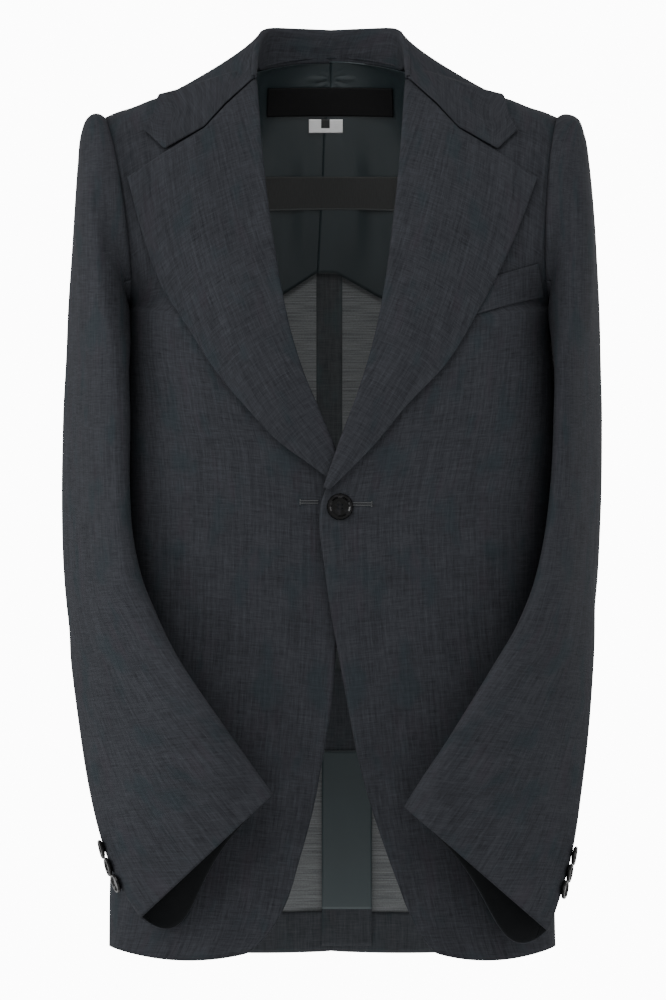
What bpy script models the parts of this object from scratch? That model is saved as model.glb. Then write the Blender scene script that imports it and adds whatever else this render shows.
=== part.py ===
"""A tailored one-button jacket, filled out as when worn: hollow, with open neck, hem, cuffs and armholes.

X points to the wearer's left, Y to the back and Z up. The origin lies between the shoulders, level with
the points where the shoulder seams meet the collar. Shapes are worked out in millimetres. In the
functions x is the distance outwards from the middle of the jacket, on either side of it.
"""
import math

import bmesh
import bpy
import numpy as np
from mathutils import Vector

MM = 0.001
LEFT, RIGHT = 1, -1
FRONT, BACK = -1, 1
SIDE_NAME = {LEFT: "left", RIGHT: "right"}

# Cloth and gaps
WALL = 1.5
THIN_WALL = 0.9
SEAM_GAP = 0.3
REST_GAP = 0.4

# Body: superellipse sections, rounder than a box and squarer than an ellipse
SECTION_POWER = {FRONT: 2.35, BACK: 2.3}
RIDGE_ZONE = 0.14
NECK_HALF_WIDTH = 59.0
NECK_DEPTH = 61.0
NECK_SIDE_Z = 14.5
NECK_BACK_Z = 24.0
NECK_SLOPE = 0.34
HEM_ROWS = (0.0, 0.005, 0.012, 0.022, 0.034, 0.05)
BODY_ROWS_POWER = 1.25
HEM_SAG = 8.0
HEM_SAG_REACH = 0.2

# Armhole: one closed loop that the fronts, the backs and the sleeve share
SHOULDER_TIP = (171.5, -23.5)
UNDERARM = {LEFT: (163.0, -165.0), RIGHT: (151.8, -165.0)}
ARMHOLE_HALF_DEPTH = 63.0
ARMHOLE_POWER = 2.2
ARMHOLE_FRONT_IN = {LEFT: 4.0, RIGHT: 5.5}
ARMHOLE_BACK_IN = 3.0

# Columns: height up the panel, place down the side, z at the front edge, depth at the middle.
# The place down the side is 0 at the shoulder tip, 1 at the underarm and 2 at the hem.
FRONT_ROWS = (
    (0.00, 2.00, -648, 108),
    (0.18, 1.75, -530, 105),
    (0.36, 1.50, -410, 102),
    (0.51, 1.28, -310, 102),
    (0.62, 1.12, -240, 104),
    (0.71, 1.00, -183, 100),
    (0.78, 0.78, -140, 92),
    (0.85, 0.54, -95, 80),
    (0.91, 0.36, -52, 70),
    (0.955, 0.20, -18, 62),
    (0.98, 0.09, 2, 58),
    (1.00, 0.00, 14.5, 56),
)
# The same columns, with z at the centre-back seam.
BACK_ROWS = (
    (0.00, 2.00, -650, 100),
    (0.18, 1.75, -530, 95),
    (0.36, 1.50, -410, 86),
    (0.51, 1.28, -310, 83),
    (0.62, 1.12, -230, 90),
    (0.71, 1.00, -165, 95),
    (0.78, 0.78, -118, 94),
    (0.85, 0.54, -70, 90),
    (0.91, 0.36, -30, 84),
    (0.955, 0.20, 0, 78),
    (0.98, 0.09, 15, 74),
    (1.00, 0.00, NECK_BACK_Z, 72),
)
PANEL_ROWS = {FRONT: FRONT_ROWS, BACK: BACK_ROWS}

# Columns: z, x of the side seam
SIDE_SEAM = {
    LEFT: (
        (-644, 167.5), (-600, 166.5), (-500, 163), (-400, 160.5), (-330, 166.5), (-270, 170), (-220, 168),
        (-185, 164.4), (-165, 163),
    ),
    RIGHT: (
        (-644, 165.5), (-600, 165), (-500, 160), (-400, 154), (-330, 157), (-270, 156.5), (-220, 154.6),
        (-185, 152.5), (-165, 151.8),
    ),
}

# Columns: x, z of the shoulder seam
SHOULDER_LINE = ((59, 14.5), (80, 7.5), (115, -3.8), (134, -9), (149, -15), (161, -18.8), (171.5, -23.5))

# Columns: z, x of each front's edge: cutaway, button, break and then the roll line
FRONT_EDGE = {
    LEFT: (
        (-648, 78), (-638, 69.5), (-618, 58.5), (-596, 50), (-566, 39), (-534, 28.5), (-506, 21),
        (-455, 11), (-414, 3.5), (-388, -1), (-355, -5.5), (-325, -8.8), (-312, -7.6), (-300, -3.6),
        (-292, -0.6), (-262, 12), (-221, 26.5), (-180, 38.5), (-148, 45), (-92, 51), (-33, 56.5), (16, 59),
    ),
    RIGHT: (
        (-648, 62), (-643, 56), (-634, 47), (-618, 37), (-576, 23), (-538, 12.8), (-510, 7.5),
        (-465, 0), (-421, -4), (-388, -6.5), (-355, -8.5), (-316, -9.5), (-300, -8),
        (-273, -2.2), (-261, 3.8), (-238, 12.8), (-215, 24), (-189, 31.5),
        (-151, 39.8), (-93, 48.8), (-33, 55.5),
        (16, 59),
    ),
}
LAP_STEP = 1.3
LAP_FULL_X = 5.0
LAP_END_X = 40.0

# Lapels. Columns: place up the lapel, x and z on the roll line, x and z on the outer edge
LAPEL_ROWS = {
    LEFT: (
        (0.00, -4.6, -300, -1.6, -302),
        (0.05, -0.8, -289, 10, -290.5),
        (0.12, 8, -264, 31, -269),
        (0.25, 21.5, -228, 56, -239),
        (0.40, 33.5, -188, 86, -207),
        (0.55, 41.5, -148, 107, -173),
        (0.70, 47.5, -103, 126, -137),
        (0.85, 52.5, -55, 142, -101),
        (1.00, 57, 6, 154.5, -67.5),
    ),
    RIGHT: (
        (0.00, -1.5, -270, 3.6, -291),
        (0.12, 8.5, -245, 36, -268),
        (0.25, 20, -218, 63, -240),
        (0.40, 31, -184, 86, -212.5),
        (0.55, 38.5, -149, 107, -179.5),
        (0.70, 46, -103, 127, -148),
        (0.85, 52, -55, 141, -109),
        (1.00, 57, 6, 152.5, -67),
    ),
}
# Columns: share of the way from the roll line to the lapel's tip, drop of the gorge below the straight line
GORGE_DROP = ((0, 0), (0.22, 3), (0.39, 8), (0.70, 3.2), (1, 0))
LAPEL_FOLD_RADIUS = 0.9
LAPEL_EDGE_LIFT = 2.7
LAPEL_BULGE = 2.6
FOLD_STEPS = 4

# Collar. Columns: place from the front end to the centre back, then x, y, z of the neck seam
COLLAR_NECK = (
    (0.00, 58.6, -23, 8.5),
    (0.15, 58.6, -12, 13.5),
    (0.30, 59, 2, 18),
    (0.50, 56.5, 20, 19.2),
    (0.70, 44.5, 42.5, 22.2),
    (0.85, 25, 57.2, 25),
    (1.00, 0, 62.6, 26),
)
# The same columns for the fold at the top of the stand
COLLAR_FOLD = (
    (0.00, 57, -26, 9.5),
    (0.15, 56.6, -13, 18),
    (0.30, 55.6, 4, 29),
    (0.50, 52, 27, 40.5),
    (0.70, 44.5, 46.5, 45.6),
    (0.85, 25, 61, 45.4),
    (1.00, 0, 66, 44.4),
)
# The same columns for the fall's outer edge
COLLAR_EDGE = (
    (0.00, 140.5, -40, -31),
    (0.15, 132, -24, -18),
    (0.30, 119, -8, -4),
    (0.42, 107, 6, 1.5),
    (0.56, 95, 40, -6),
    (0.70, 74, 68, -11),
    (0.85, 41, 82, -13),
    (1.00, 0, 86, -13),
)
# The fall's front end. Columns: share across the fall, x, z: gorge seam to the notch, then the free end
COLLAR_END = ((0, 57.3, 8.5), (0.25, 79, -11.2), (0.47, 95, -29.2), (0.8, 124.8, -45.8), (1, 140.5, -31))
COLLAR_FOLD_RADIUS = 1.2
COLLAR_REST = 2.3
COLLAR_SMOOTHING = 8
RIDGE_Y = 5.0

# Sleeves. Columns: place down the sleeve, x and z on its outer edge as seen from the front, x and z on
# its inner edge, y of the middle, half the sleeve's long width, half its short width (0: as wide as seen)
SLEEVE_ROWS = {
    LEFT: (
        (0.000, 174.5, -23, 166.5, -165, 0, 63, 0),
        (0.015, 179, -20.5, 166.5, -167, 0, 64, 0),
        (0.035, 186, -22.5, 166.4, -168.5, 0, 65, 0),
        (0.060, 190, -33, 166.3, -170, -1, 66, 0),
        (0.105, 193.5, -56, 166.2, -173, -3, 67.5, 60),
        (0.160, 197, -92, 166.1, -178, -5, 69.5, 44.9),
        (0.220, 200, -138, 166, -187, -8, 72, 26.9),
        (0.285, 202.3, -190, 165.8, -206, -11, 74, 12.9),
        (0.360, 203.6, -246, 165, -248, -14, 75, 11.5),
        (0.450, 202.8, -312, 162.8, -303, -18, 75, 11.5),
        (0.510, 201, -352, 160, -340, -25, 75, 13),
        (0.570, 198.7, -392, 152.5, -372, -38, 75, 15.5),
        (0.635, 196.5, -434, 140.5, -402, -52, 75, 18),
        (0.710, 193, -480, 124, -430, -72, 75, 18),
        (0.785, 187.5, -527, 106, -459, -90, 74.5, 18),
        (0.860, 181, -570, 87, -489, -105, 74, 18),
        (0.935, 172, -604, 70, -514, -114, 73.5, 18),
        (1.000, 162.5, -632, 54.8, -538, -118, 73, 18),
    ),
    RIGHT: (
        (0.000, 174.5, -23, 155.5, -165, 0, 63, 0),
        (0.015, 179, -20, 155.5, -167, 0, 64, 0),
        (0.035, 184, -22.5, 155.3, -168.5, 0, 65, 0),
        (0.060, 187.5, -33, 155.1, -170, -1, 66, 0),
        (0.105, 189.6, -56, 154.8, -173, -3, 67.5, 60.9),
        (0.160, 192.2, -92, 154.4, -178, -5, 69.5, 46.3),
        (0.220, 195.3, -138, 153.7, -187, -8, 72, 29),
        (0.285, 198.2, -188, 152.6, -206, -11, 74.5, 18.3),
        (0.360, 201, -245, 151.4, -248, -14, 76, 17.2),
        (0.450, 202, -310, 151.7, -300, -18, 76, 15.5),
        (0.510, 201, -352, 149.5, -334, -25, 76, 17),
        (0.570, 198, -392, 143.5, -364, -34, 76, 20),
        (0.635, 194.5, -432, 134, -389, -52, 76, 19.5),
        (0.710, 188.5, -478, 117, -424, -72, 75.5, 19),
        (0.785, 181, -525, 98, -453, -90, 74.5, 18.5),
        (0.860, 171, -566, 78, -481, -105, 73, 18),
        (0.935, 158, -598, 60, -506, -114, 71.5, 17.5),
        (1.000, 142.5, -622, 43.5, -529, -118, 70, 17),
    ),
}
SLEEVE_POWER = 2.2
SLEEVE_FRONT_SEAM = -40.0
SLEEVE_BACK_SEAM = 190.0
SLEEVE_SEAM_HALF_GAP = 0.6
ARMHOLE_BLEND = 0.10
SLEEVE_SEAT = 1.9
UNDERARM_SEAT = 1.6
CUFF_DROP = 48.0
CUFF_DROP_ZONE = 0.1
CUFF_DROP_POWER = 3.0

# Breast welt, as corners on the wearer's left front: x, z
WELT_OUTER_TOP = (154.5, -131)
WELT_OUTER_BOTTOM = (158, -156)
WELT_INNER_TOP = (108, -145.5)
WELT_INNER_BOTTOM = (106, -171.5)

# Buttons
FRONT_BUTTON_PLACE = (6.8, -314.0)
FRONT_BUTTON_RADIUS = 10.0
FRONT_BUTTON_THICKNESS = 3.6
CUFF_BUTTON_RADIUS = 7.5
CUFF_BUTTON_THICKNESS = 3.0
CUFF_BUTTON_ANGLE = 168.0
CUFF_BUTTON_FROM_EDGE = {LEFT: (43.0, 60.0, 77.0), RIGHT: (42.0, 60.0, 78.0)}
CUFF_BUTTONS_SLEEVE_LENGTH = 600.0
THREAD_HOLE_RADIUS = 0.9
THREAD_HOLE_SPREAD = 2.0
THREAD_HOLE_DEPTH = 20.0
CUFF_BUTTON_GAP = 0.2

# Inside of the back
LINING_HALF_WIDTH = 118.0
LINING_EDGE = ((0, -138), (12, -138), (38, -155), (80, -176), (118, -190))
LINING_TOP_Z = 17.0
LINING_BELOW_SEAM = 6.0
LINING_OFFSET = 2.0
INNER_BAND = {"half_width": 78.0, "top": -64.2, "bottom": -89.3}
NECK_LABEL = {"half_width": 47.5, "top": 3.9, "bottom": -18.1}
SIZE_TAG = {"left": -17.0, "right": 9.0, "top": -20.6, "bottom": -30.8}
TRIM_OFFSET = LINING_OFFSET + THIN_WALL + 2 * REST_GAP
SEAM_STRIP = {"left": -11.0, "right": 8.5, "top": -150.0, "bottom": -494.0}
HEM_OFFSET = 0.6
VENT_TOP = -498.0
VENT_LEFT = -7.0
VENT_RIGHT = 31.0
VENT_BOTTOM = -646.0
VENT_LINING_BOTTOM = -618.0
HEM_TURN_UP = 31.0


def smooth_rows(rows, at):
    """A table's columns at the given places: cubics through the rows, with slopes from their neighbours."""
    table = np.array(rows, float)
    knots, values = table[:, 0], table[:, 1:]
    slopes = np.gradient(values, knots, axis=0)
    at = np.clip(np.asarray(at, float), knots[0], knots[-1])
    first = np.clip(np.searchsorted(knots, at, side="right") - 1, 0, len(knots) - 2)
    step = (knots[first + 1] - knots[first])[..., None]
    t = ((at - knots[first])[..., None]) / step
    start, end = values[first], values[first + 1]
    found = (
        (2 * t**3 - 3 * t**2 + 1) * start
        + (t**3 - 2 * t**2 + t) * step * slopes[first]
        + (3 * t**2 - 2 * t**3) * end
        + (t**3 - t**2) * step * slopes[first + 1]
    )
    return np.moveaxis(found, -1, 0)


def line_rows(rows, at, column=1):
    """One column of a table, followed in straight lines over the first."""
    table = np.array(rows, float)
    return np.interp(at, table[:, 0], table[:, column])


def eased(t):
    """0 up to t = 0, 1 from t = 1, and smooth between."""
    t = np.clip(t, 0, 1)
    return t * t * (3 - 2 * t)


def power(value, exponent):
    """A power that keeps the sign, for superellipses."""
    return np.sign(value) * np.abs(value) ** exponent


def armhole(side, angle):
    """The armhole at an angle: 0 at the front, a quarter turn at the shoulder, three at the underarm."""
    across = power(np.cos(angle), 2 / ARMHOLE_POWER)
    up = power(np.sin(angle), 2 / ARMHOLE_POWER)
    tip, under = np.array(SHOULDER_TIP), np.array(UNDERARM[side])
    middle, half = (tip + under) / 2, (tip - under) / 2
    bow = ARMHOLE_FRONT_IN[side] * np.maximum(across, 0) ** 2 + ARMHOLE_BACK_IN * np.maximum(-across, 0) ** 2
    return middle[0] + up * half[0] - bow, -across * ARMHOLE_HALF_DEPTH, middle[1] + up * half[1]


def side_curve(side, face, place):
    """The panel's side: down the armhole to the underarm, then down the side seam. y is given as a size."""
    angle = np.pi / 2 + face * np.pi * np.minimum(place, 1)
    x, y, z = armhole(side, angle)
    below = place > 1
    hem = SIDE_SEAM[side][0][0]
    seam_z = UNDERARM[side][1] + (hem - UNDERARM[side][1]) * (np.maximum(place, 1) - 1)
    (seam_x,) = smooth_rows(SIDE_SEAM[side], seam_z)
    return np.where(below, seam_x, x), np.where(below, 0, np.abs(y)), np.where(below, seam_z, z)


def ridge_share(v):
    """How far the panel has turned over from the shoulder seam: 0 on it, 1 below, a quarter circle."""
    left = 1 - np.clip((1 - v) / RIDGE_ZONE, 0, 1)
    return np.sqrt(1 - left**2)


def panel_rows(side, face, v):
    """What each row of a panel needs: its side point, its end, its depth and the width of its section."""
    place, end_z, depth = smooth_rows(PANEL_ROWS[face], v)
    x, y, z = side_curve(side, face, place)
    if face == FRONT:
        depth = np.maximum(depth * ridge_share(v), 1e-3)
        (end_x,) = smooth_rows(FRONT_EDGE[side], end_z)
    else:
        end_x = np.full_like(v, SEAM_GAP / 2)
    n = SECTION_POWER[face]
    width = x / np.maximum(1 - np.minimum(y / depth, 0.98) ** n, 1e-3) ** (1 / n)
    return {"x": x, "y": y, "z": z, "end_x": end_x, "end_z": end_z, "depth": depth, "width": width}


def section(rows, face, x):
    """The body's depth at x in a row's section."""
    n = SECTION_POWER[face]
    return rows["depth"] * np.maximum(1 - np.abs(x / rows["width"]) ** n, 0) ** (1 / n)


def panel_z(side, face, rows, x, v):
    """z in a row: straight from side to end, bent to the shoulder line at the top, sagging at the hem."""
    share = (rows["x"] - x) / (rows["x"] - rows["end_x"])
    z = rows["z"] + (rows["end_z"] - rows["z"]) * share
    tip_x, tip_z = SHOULDER_TIP
    top_end_x, top_end_z = (NECK_HALF_WIDTH, NECK_SIDE_Z) if face == FRONT else (0.0, NECK_BACK_Z)
    top_x = x * tip_x / rows["x"]
    straight = tip_z + (top_end_z - tip_z) * (tip_x - top_x) / (tip_x - top_end_x)
    near_top = np.clip((v - 0.7) / 0.3, 0, 1) ** 2
    z = z + near_top * (top_line(face, top_x) - straight)
    sag = HEM_SAG * np.sin(np.pi * np.clip(share, 0, 1)) ** 0.8 * np.clip(1 - v / HEM_SAG_REACH, 0, 1) ** 2
    return z - (sag if face == FRONT else 0.5 * sag)


def top_line(face, x):
    """z of a panel's top: the shoulder seam and, on the back, the neckline."""
    (z,) = smooth_rows(SHOULDER_LINE, np.maximum(x, NECK_HALF_WIDTH))
    if face == FRONT:
        return z + np.maximum(NECK_HALF_WIDTH - x, 0) * NECK_SLOPE
    rise = (NECK_BACK_Z - NECK_SIDE_Z) * (1 - np.minimum(np.abs(x) / NECK_HALF_WIDTH, 1) ** 2)
    return np.where(x < NECK_HALF_WIDTH, NECK_SIDE_Z + rise, z)


def panel_depth(side, face, rows, x, v):
    """y of the body's surface, as a size, at x in a row. The back's top row runs along seam and neckline."""
    y = section(rows, face, x)
    if face == BACK:
        top_x = x * SHOULDER_TIP[0] / rows["x"]
        n = SECTION_POWER[BACK]
        top_arc = BACK_ROWS[-1][3] * np.maximum(1 - np.abs(top_x / SHOULDER_TIP[0]) ** n, 0) ** (1 / n)
        neck = NECK_DEPTH * np.sqrt(np.maximum(1 - (top_x / NECK_HALF_WIDTH) ** 2, 0))
        y = y - (1 - ridge_share(v)) * (top_arc - neck)
    return y


def lap(side, face, x):
    """How far a front stands forward where the fronts lap over each other, as a size in y."""
    if face == BACK:
        return 0.0
    return side * LAP_STEP * eased((LAP_END_X - x) / (LAP_END_X - LAP_FULL_X))


def spread(rows, face, start, end, shares):
    """x at shares of the length of each row's arc between start and end."""
    t = np.linspace(0, 1, 240)
    dense = end[:, None] + (start - end)[:, None] * (1 - (1 - t) ** 2)
    deep = section({k: rows[k][:, None] for k in ("depth", "width")}, face, dense)
    length = np.concatenate(
        [np.zeros((len(start), 1)), np.cumsum(np.hypot(np.diff(dense), np.diff(deep)), axis=1)], axis=1
    )
    length = length[:, -1:] - length
    return np.stack(
        [np.interp(shares * total[0], total[::-1], xs[::-1]) for total, xs in zip(length, dense)]
    )


def panel_points(side, face, across, up):
    """A front or back as a grid of points, a row for each height in up and a column for each share across."""
    rows = panel_rows(side, face, up)
    if face == FRONT:
        x = spread(rows, face, rows["x"], rows["end_x"], across)
    else:
        split = 0.6
        neck = np.minimum(np.full_like(up, NECK_HALF_WIDTH), rows["x"] - 20)
        outer = across[across <= split] / split
        inner = (across[across > split] - split) / (1 - split)
        x = np.concatenate(
            [
                spread(rows, face, rows["x"], neck, outer),
                rows["end_x"][:, None] + (neck - rows["end_x"])[:, None] * np.cos(np.pi / 2 * inner),
            ],
            axis=1,
        )
    wide = {k: value[:, None] for k, value in rows.items()}
    v = up[:, None]
    y = panel_depth(side, face, wide, x, v) + lap(side, face, x) + SEAM_GAP / 2
    return np.stack([side * x, face * y, panel_z(side, face, wide, x, v)], axis=-1)


def depth_at(side, face, x, z):
    """y of the body's inner surface, as a size, below the point (x, z) seen from the front, by bisection."""
    x, z = np.broadcast_arrays(np.asarray(x, float), np.asarray(z, float))
    low, high = np.zeros(x.shape), np.ones(x.shape)
    for _ in range(26):
        v = (low + high) / 2
        rows = panel_rows(side, face, v)
        above = panel_z(side, face, rows, x, v) > z
        high = np.where(above, v, high)
        low = np.where(above, low, v)
    v = (low + high) / 2
    rows = panel_rows(side, face, v)
    return panel_depth(side, face, rows, x, v) + lap(side, face, x) + SEAM_GAP / 2


def lapel_points(side, across, up):
    """A lapel: a half circle round the roll line, then out over the front to the lapel's outer edge."""
    roll_x, roll_z, edge_x, edge_z = (value[:, None] for value in smooth_rows(LAPEL_ROWS[side], up))
    u = across[None, :]
    x = roll_x + (edge_x - roll_x) * u
    z = roll_z + (edge_z - roll_z) * u
    z = z - line_rows(GORGE_DROP, u) * up[:, None] ** 3
    small = np.clip(up[:, None] / 0.3, 0.3, 1)
    lift = 2 * LAPEL_FOLD_RADIUS + (LAPEL_EDGE_LIFT - 2 * LAPEL_FOLD_RADIUS) * u
    lift = lift + small * LAPEL_BULGE * np.sin(np.pi * np.minimum(u * 1.15, 1)) ** 2
    y = depth_at(side, FRONT, x, z) + WALL + lift
    out = np.stack([x, y, z], axis=-1)
    turn = np.linspace(0, 1, FOLD_STEPS + 1)[None, :-1]
    start_y = depth_at(side, FRONT, roll_x, roll_z) + WALL
    fold_x = roll_x + LAPEL_FOLD_RADIUS * (1 - np.sin(np.pi * turn)) + 0 * start_y
    fold_y = start_y + LAPEL_FOLD_RADIUS * (1 - np.cos(np.pi * turn))
    fold = np.stack([fold_x, fold_y, roll_z + 0 * fold_x], axis=-1)
    out[:, :, 0] += LAPEL_FOLD_RADIUS * (1 - u)
    points = np.concatenate([fold, out], axis=1)
    return points * np.array([side, -1, 1])


def collar_points(across_stand, across_fall, along):
    """Half a collar: up the stand from the neck seam, round the fold and down the fall to its outer edge."""
    neck = np.moveaxis(smooth_rows(COLLAR_NECK, along), 0, -1)[:, None, :]
    fold = np.moveaxis(smooth_rows(COLLAR_FOLD, along), 0, -1)[:, None, :]
    edge = np.moveaxis(smooth_rows(COLLAR_EDGE, along), 0, -1)[:, None, :]
    out = edge - fold
    out[..., 2] = 0
    out = out / np.linalg.norm(out, axis=-1, keepdims=True)
    up = np.array([0.0, 0.0, 1.0])
    stand = neck + (fold - up * COLLAR_FOLD_RADIUS - neck) * across_stand[None, :, None]
    turn = np.linspace(0, 1, FOLD_STEPS + 1)[None, 1:-1, None]
    low_fold = fold - up * COLLAR_FOLD_RADIUS
    bend = (
        low_fold
        + out * COLLAR_FOLD_RADIUS * (1 - np.cos(np.pi * turn))
        + up * COLLAR_FOLD_RADIUS * np.sin(np.pi * turn)
    )
    fall_start = low_fold + 2 * COLLAR_FOLD_RADIUS * out
    w = across_fall[None, :, None]
    fall = fall_start + (edge - fall_start) * w
    straight = fall_start[:1] + (edge[:1] - fall_start[:1]) * w
    front = (1 - np.clip(along[:, None] / 0.35, 0, 1)) ** 2
    fall[..., 0] += front * (line_rows(COLLAR_END, across_fall) - straight[..., 0])
    fall[..., 2] += front * (line_rows(COLLAR_END, across_fall, 2) - straight[..., 2])
    points = np.concatenate([stand, bend, fall], axis=1)
    return clear_of_body(points)


def clear_of_body(points):
    """The collar's left half moved clear of the body, with each move shared by the points round it."""
    moved = pushed_clear(points)
    for _ in range(COLLAR_SMOOTHING):
        shift = moved - points
        for axis in (0, 1):
            shift = np.moveaxis(shift, axis, 0)
            near = np.concatenate([shift[:1], shift, shift[-1:]])
            shift = np.moveaxis((near[:-2] + 2 * shift + near[2:]) / 4, 0, axis)
        moved = pushed_clear(points + shift)
    return moved


def pushed_clear(points):
    """Points of the left half moved clear of the body: up at the shoulder line, and out in y below it."""
    x, y, z = points[..., 0], points[..., 1], points[..., 2]
    ridge = top_line(FRONT, np.maximum(x, NECK_HALF_WIDTH))
    under = z - COLLAR_REST
    front_y = -(depth_at(LEFT, FRONT, x, under) + COLLAR_REST)
    back_y = depth_at(LEFT, BACK, x, under) + COLLAR_REST
    lift = ridge - under
    push = np.where(y < RIDGE_Y, y - front_y, back_y - y)
    inside = (x > NECK_HALF_WIDTH - 4) & (lift > 0) & (push > 0)
    upwards = inside & (lift < push)
    outwards = inside & ~upwards
    z = np.where(upwards, z + lift, z)
    y = np.where(outwards & (y < RIDGE_Y), front_y, y)
    y = np.where(outwards & (y > RIDGE_Y), back_y, y)
    return np.stack([x, y, z], axis=-1)


def sleeve_frames(side, along):
    """The rings of a sleeve: centre, direction to the inner edge, half widths, and the turn."""
    table = np.array(SLEEVE_ROWS[side], float)
    seen = np.hypot(table[:, 1] - table[:, 3], table[:, 2] - table[:, 4]) / 2
    long_half = table[:, 6]
    short_half = np.where(table[:, 7] > 0, table[:, 7], seen)
    turned = np.clip((seen**2 - short_half**2) / np.maximum(long_half**2 - short_half**2, 1), 0, 1)
    turn = np.where(table[:, 7] > 0, np.arcsin(np.sqrt(turned)), 0)
    full = np.column_stack([table[:, :7], short_half, turn])
    outer_x, outer_z, inner_x, inner_z, y, long_half, short_half, turn = smooth_rows(full, along)
    length = np.hypot(inner_x - outer_x, inner_z - outer_z)
    inwards = np.stack([(inner_x - outer_x) / length, 0 * y, (inner_z - outer_z) / length], axis=-1)
    centre = np.stack([(outer_x + inner_x) / 2, y, (outer_z + inner_z) / 2], axis=-1)
    return centre, inwards, long_half - WALL, short_half - WALL, turn


def sleeve_points(side, angles, along):
    """A stretch of a sleeve's wall: superellipse rings, the first drawn on to the armhole."""
    centre, inwards, long_half, short_half, turn = (value[:, None] for value in sleeve_frames(side, along))
    turn = turn[..., None]
    forwards = np.array([0.0, -1.0, 0.0])
    to_front = forwards * np.cos(turn) + inwards * np.sin(turn)
    to_side = forwards * np.sin(turn) - inwards * np.cos(turn)
    c = power(np.cos(angles), 2 / SLEEVE_POWER)[None, :, None]
    s = power(np.sin(angles), 2 / SLEEVE_POWER)[None, :, None]
    points = centre + long_half[..., None] * c * to_front + short_half[..., None] * s * to_side
    seat = np.stack(armhole(side, angles), axis=-1)[None]
    seat[..., 0] += SLEEVE_SEAT + UNDERARM_SEAT * np.maximum(-s[..., 0], 0)
    near = np.clip(1 - along / ARMHOLE_BLEND, 0, 1)[:, None, None] ** 2
    points = points + near * (seat - first_ring(side, angles))
    heading = np.stack([-inwards[..., 2], 0 * inwards[..., 2], inwards[..., 0]], axis=-1)
    late = eased((along - 1 + CUFF_DROP_ZONE) / CUFF_DROP_ZONE)[:, None, None]
    points = points + heading * late * CUFF_DROP * np.maximum(-s, 0) * ((1 - c) / 2) ** CUFF_DROP_POWER
    return points * np.array([side, 1, 1])


def first_ring(side, angles):
    """The first ring as the table gives it, before it is drawn on to the armhole."""
    centre, inwards, long_half, short_half, _ = sleeve_frames(side, np.zeros(1))
    c = power(np.cos(angles), 2 / SLEEVE_POWER)[None, :, None]
    s = power(np.sin(angles), 2 / SLEEVE_POWER)[None, :, None]
    forwards = np.array([0.0, -1.0, 0.0])
    return centre[:, None] + long_half[0] * c * forwards - short_half[0] * s * inwards[:, None]


def moved_out(points, distance, towards):
    """A grid of points moved along its own normals, on the side that faces towards."""
    normal = np.cross(np.gradient(points, axis=1), np.gradient(points, axis=0))
    normal = normal / np.linalg.norm(normal, axis=-1, keepdims=True)
    facing = np.sign((normal @ np.array(towards, float)).sum())
    return points + normal * facing * distance


def inside_back(x, z, offset):
    """Points a given way inside the back's inner surface, for x on both sides of the middle."""
    size = np.abs(x)
    y = np.where(x < 0, depth_at(RIGHT, BACK, size, z), depth_at(LEFT, BACK, size, z))
    return moved_out(np.stack([x, y, z + 0 * x], axis=-1), offset, (0, -1, 0))


def patch(left, right, top, bottom, columns, rows):
    """x and z of an upright rectangle's grid, from the bottom row up."""
    x = np.linspace(left, right, columns + 1)[None, :]
    z = np.linspace(bottom, top, rows + 1)[:, None]
    return x + 0 * z, z + 0 * x


def material(name, colour, roughness, metallic=0.0):
    made = bpy.data.materials.new(name)
    made.use_nodes = True
    shader = made.node_tree.nodes["Principled BSDF"]
    shader.inputs["Base Color"].default_value = (*colour, 1.0)
    shader.inputs["Roughness"].default_value = roughness
    shader.inputs["Metallic"].default_value = metallic
    return made


def add_object(name, mesh, collection, surface):
    made = bpy.data.objects.new(name, mesh)
    made.data.materials.append(surface)
    collection.objects.link(made)
    return made


def cloth(name, points, towards, wall, collection, surface):
    """An open grid of points, in millimetres, given its wall on the side that faces towards."""
    rows, columns = points.shape[:2]
    index = np.arange(rows * columns).reshape(rows, columns)
    faces = np.stack([index[:-1, :-1], index[:-1, 1:], index[1:, 1:], index[1:, :-1]], axis=-1).reshape(-1, 4)
    corners = points.reshape(-1, 3)[faces]
    normal = np.cross(corners[:, 2] - corners[:, 0], corners[:, 3] - corners[:, 1]).sum(axis=0)
    if normal @ np.asarray(towards, float) < 0:
        faces = faces[:, ::-1]
    mesh = bpy.data.meshes.new(name)
    mesh.from_pydata((points.reshape(-1, 3) * MM).tolist(), [], faces.tolist())
    mesh.shade_smooth()
    made = add_object(name, mesh, collection, surface)
    solidify = made.modifiers.new("wall", "SOLIDIFY")
    solidify.thickness = wall * MM
    solidify.offset = 1.0
    return made


def button(name, radius, thickness, steps, collection, surface):
    """A turned button with a raised rim and a dished face, its back on z = 0."""
    rim = 0.22 * radius
    profile = (
        (0.0, thickness * 0.62),
        (radius - 1.6 * rim, thickness * 0.66),
        (radius - rim, thickness),
        (radius - 0.35 * rim, thickness * 0.98),
        (radius, thickness * 0.6),
        (radius * 0.93, thickness * 0.2),
        (radius * 0.7, 0.0),
        (0.0, 0.0),
    )
    mesh = bpy.data.meshes.new(name)
    points = [(x * MM, 0.0, z * MM) for x, z in profile]
    mesh.from_pydata(points, [(i, i + 1) for i in range(len(points) - 1)], [])
    made = add_object(name, mesh, collection, surface)
    screw = made.modifiers.new("turned", "SCREW")
    screw.steps = steps
    screw.render_steps = steps
    screw.use_merge_vertices = True
    screw.merge_threshold = 0.00001
    return made


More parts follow.
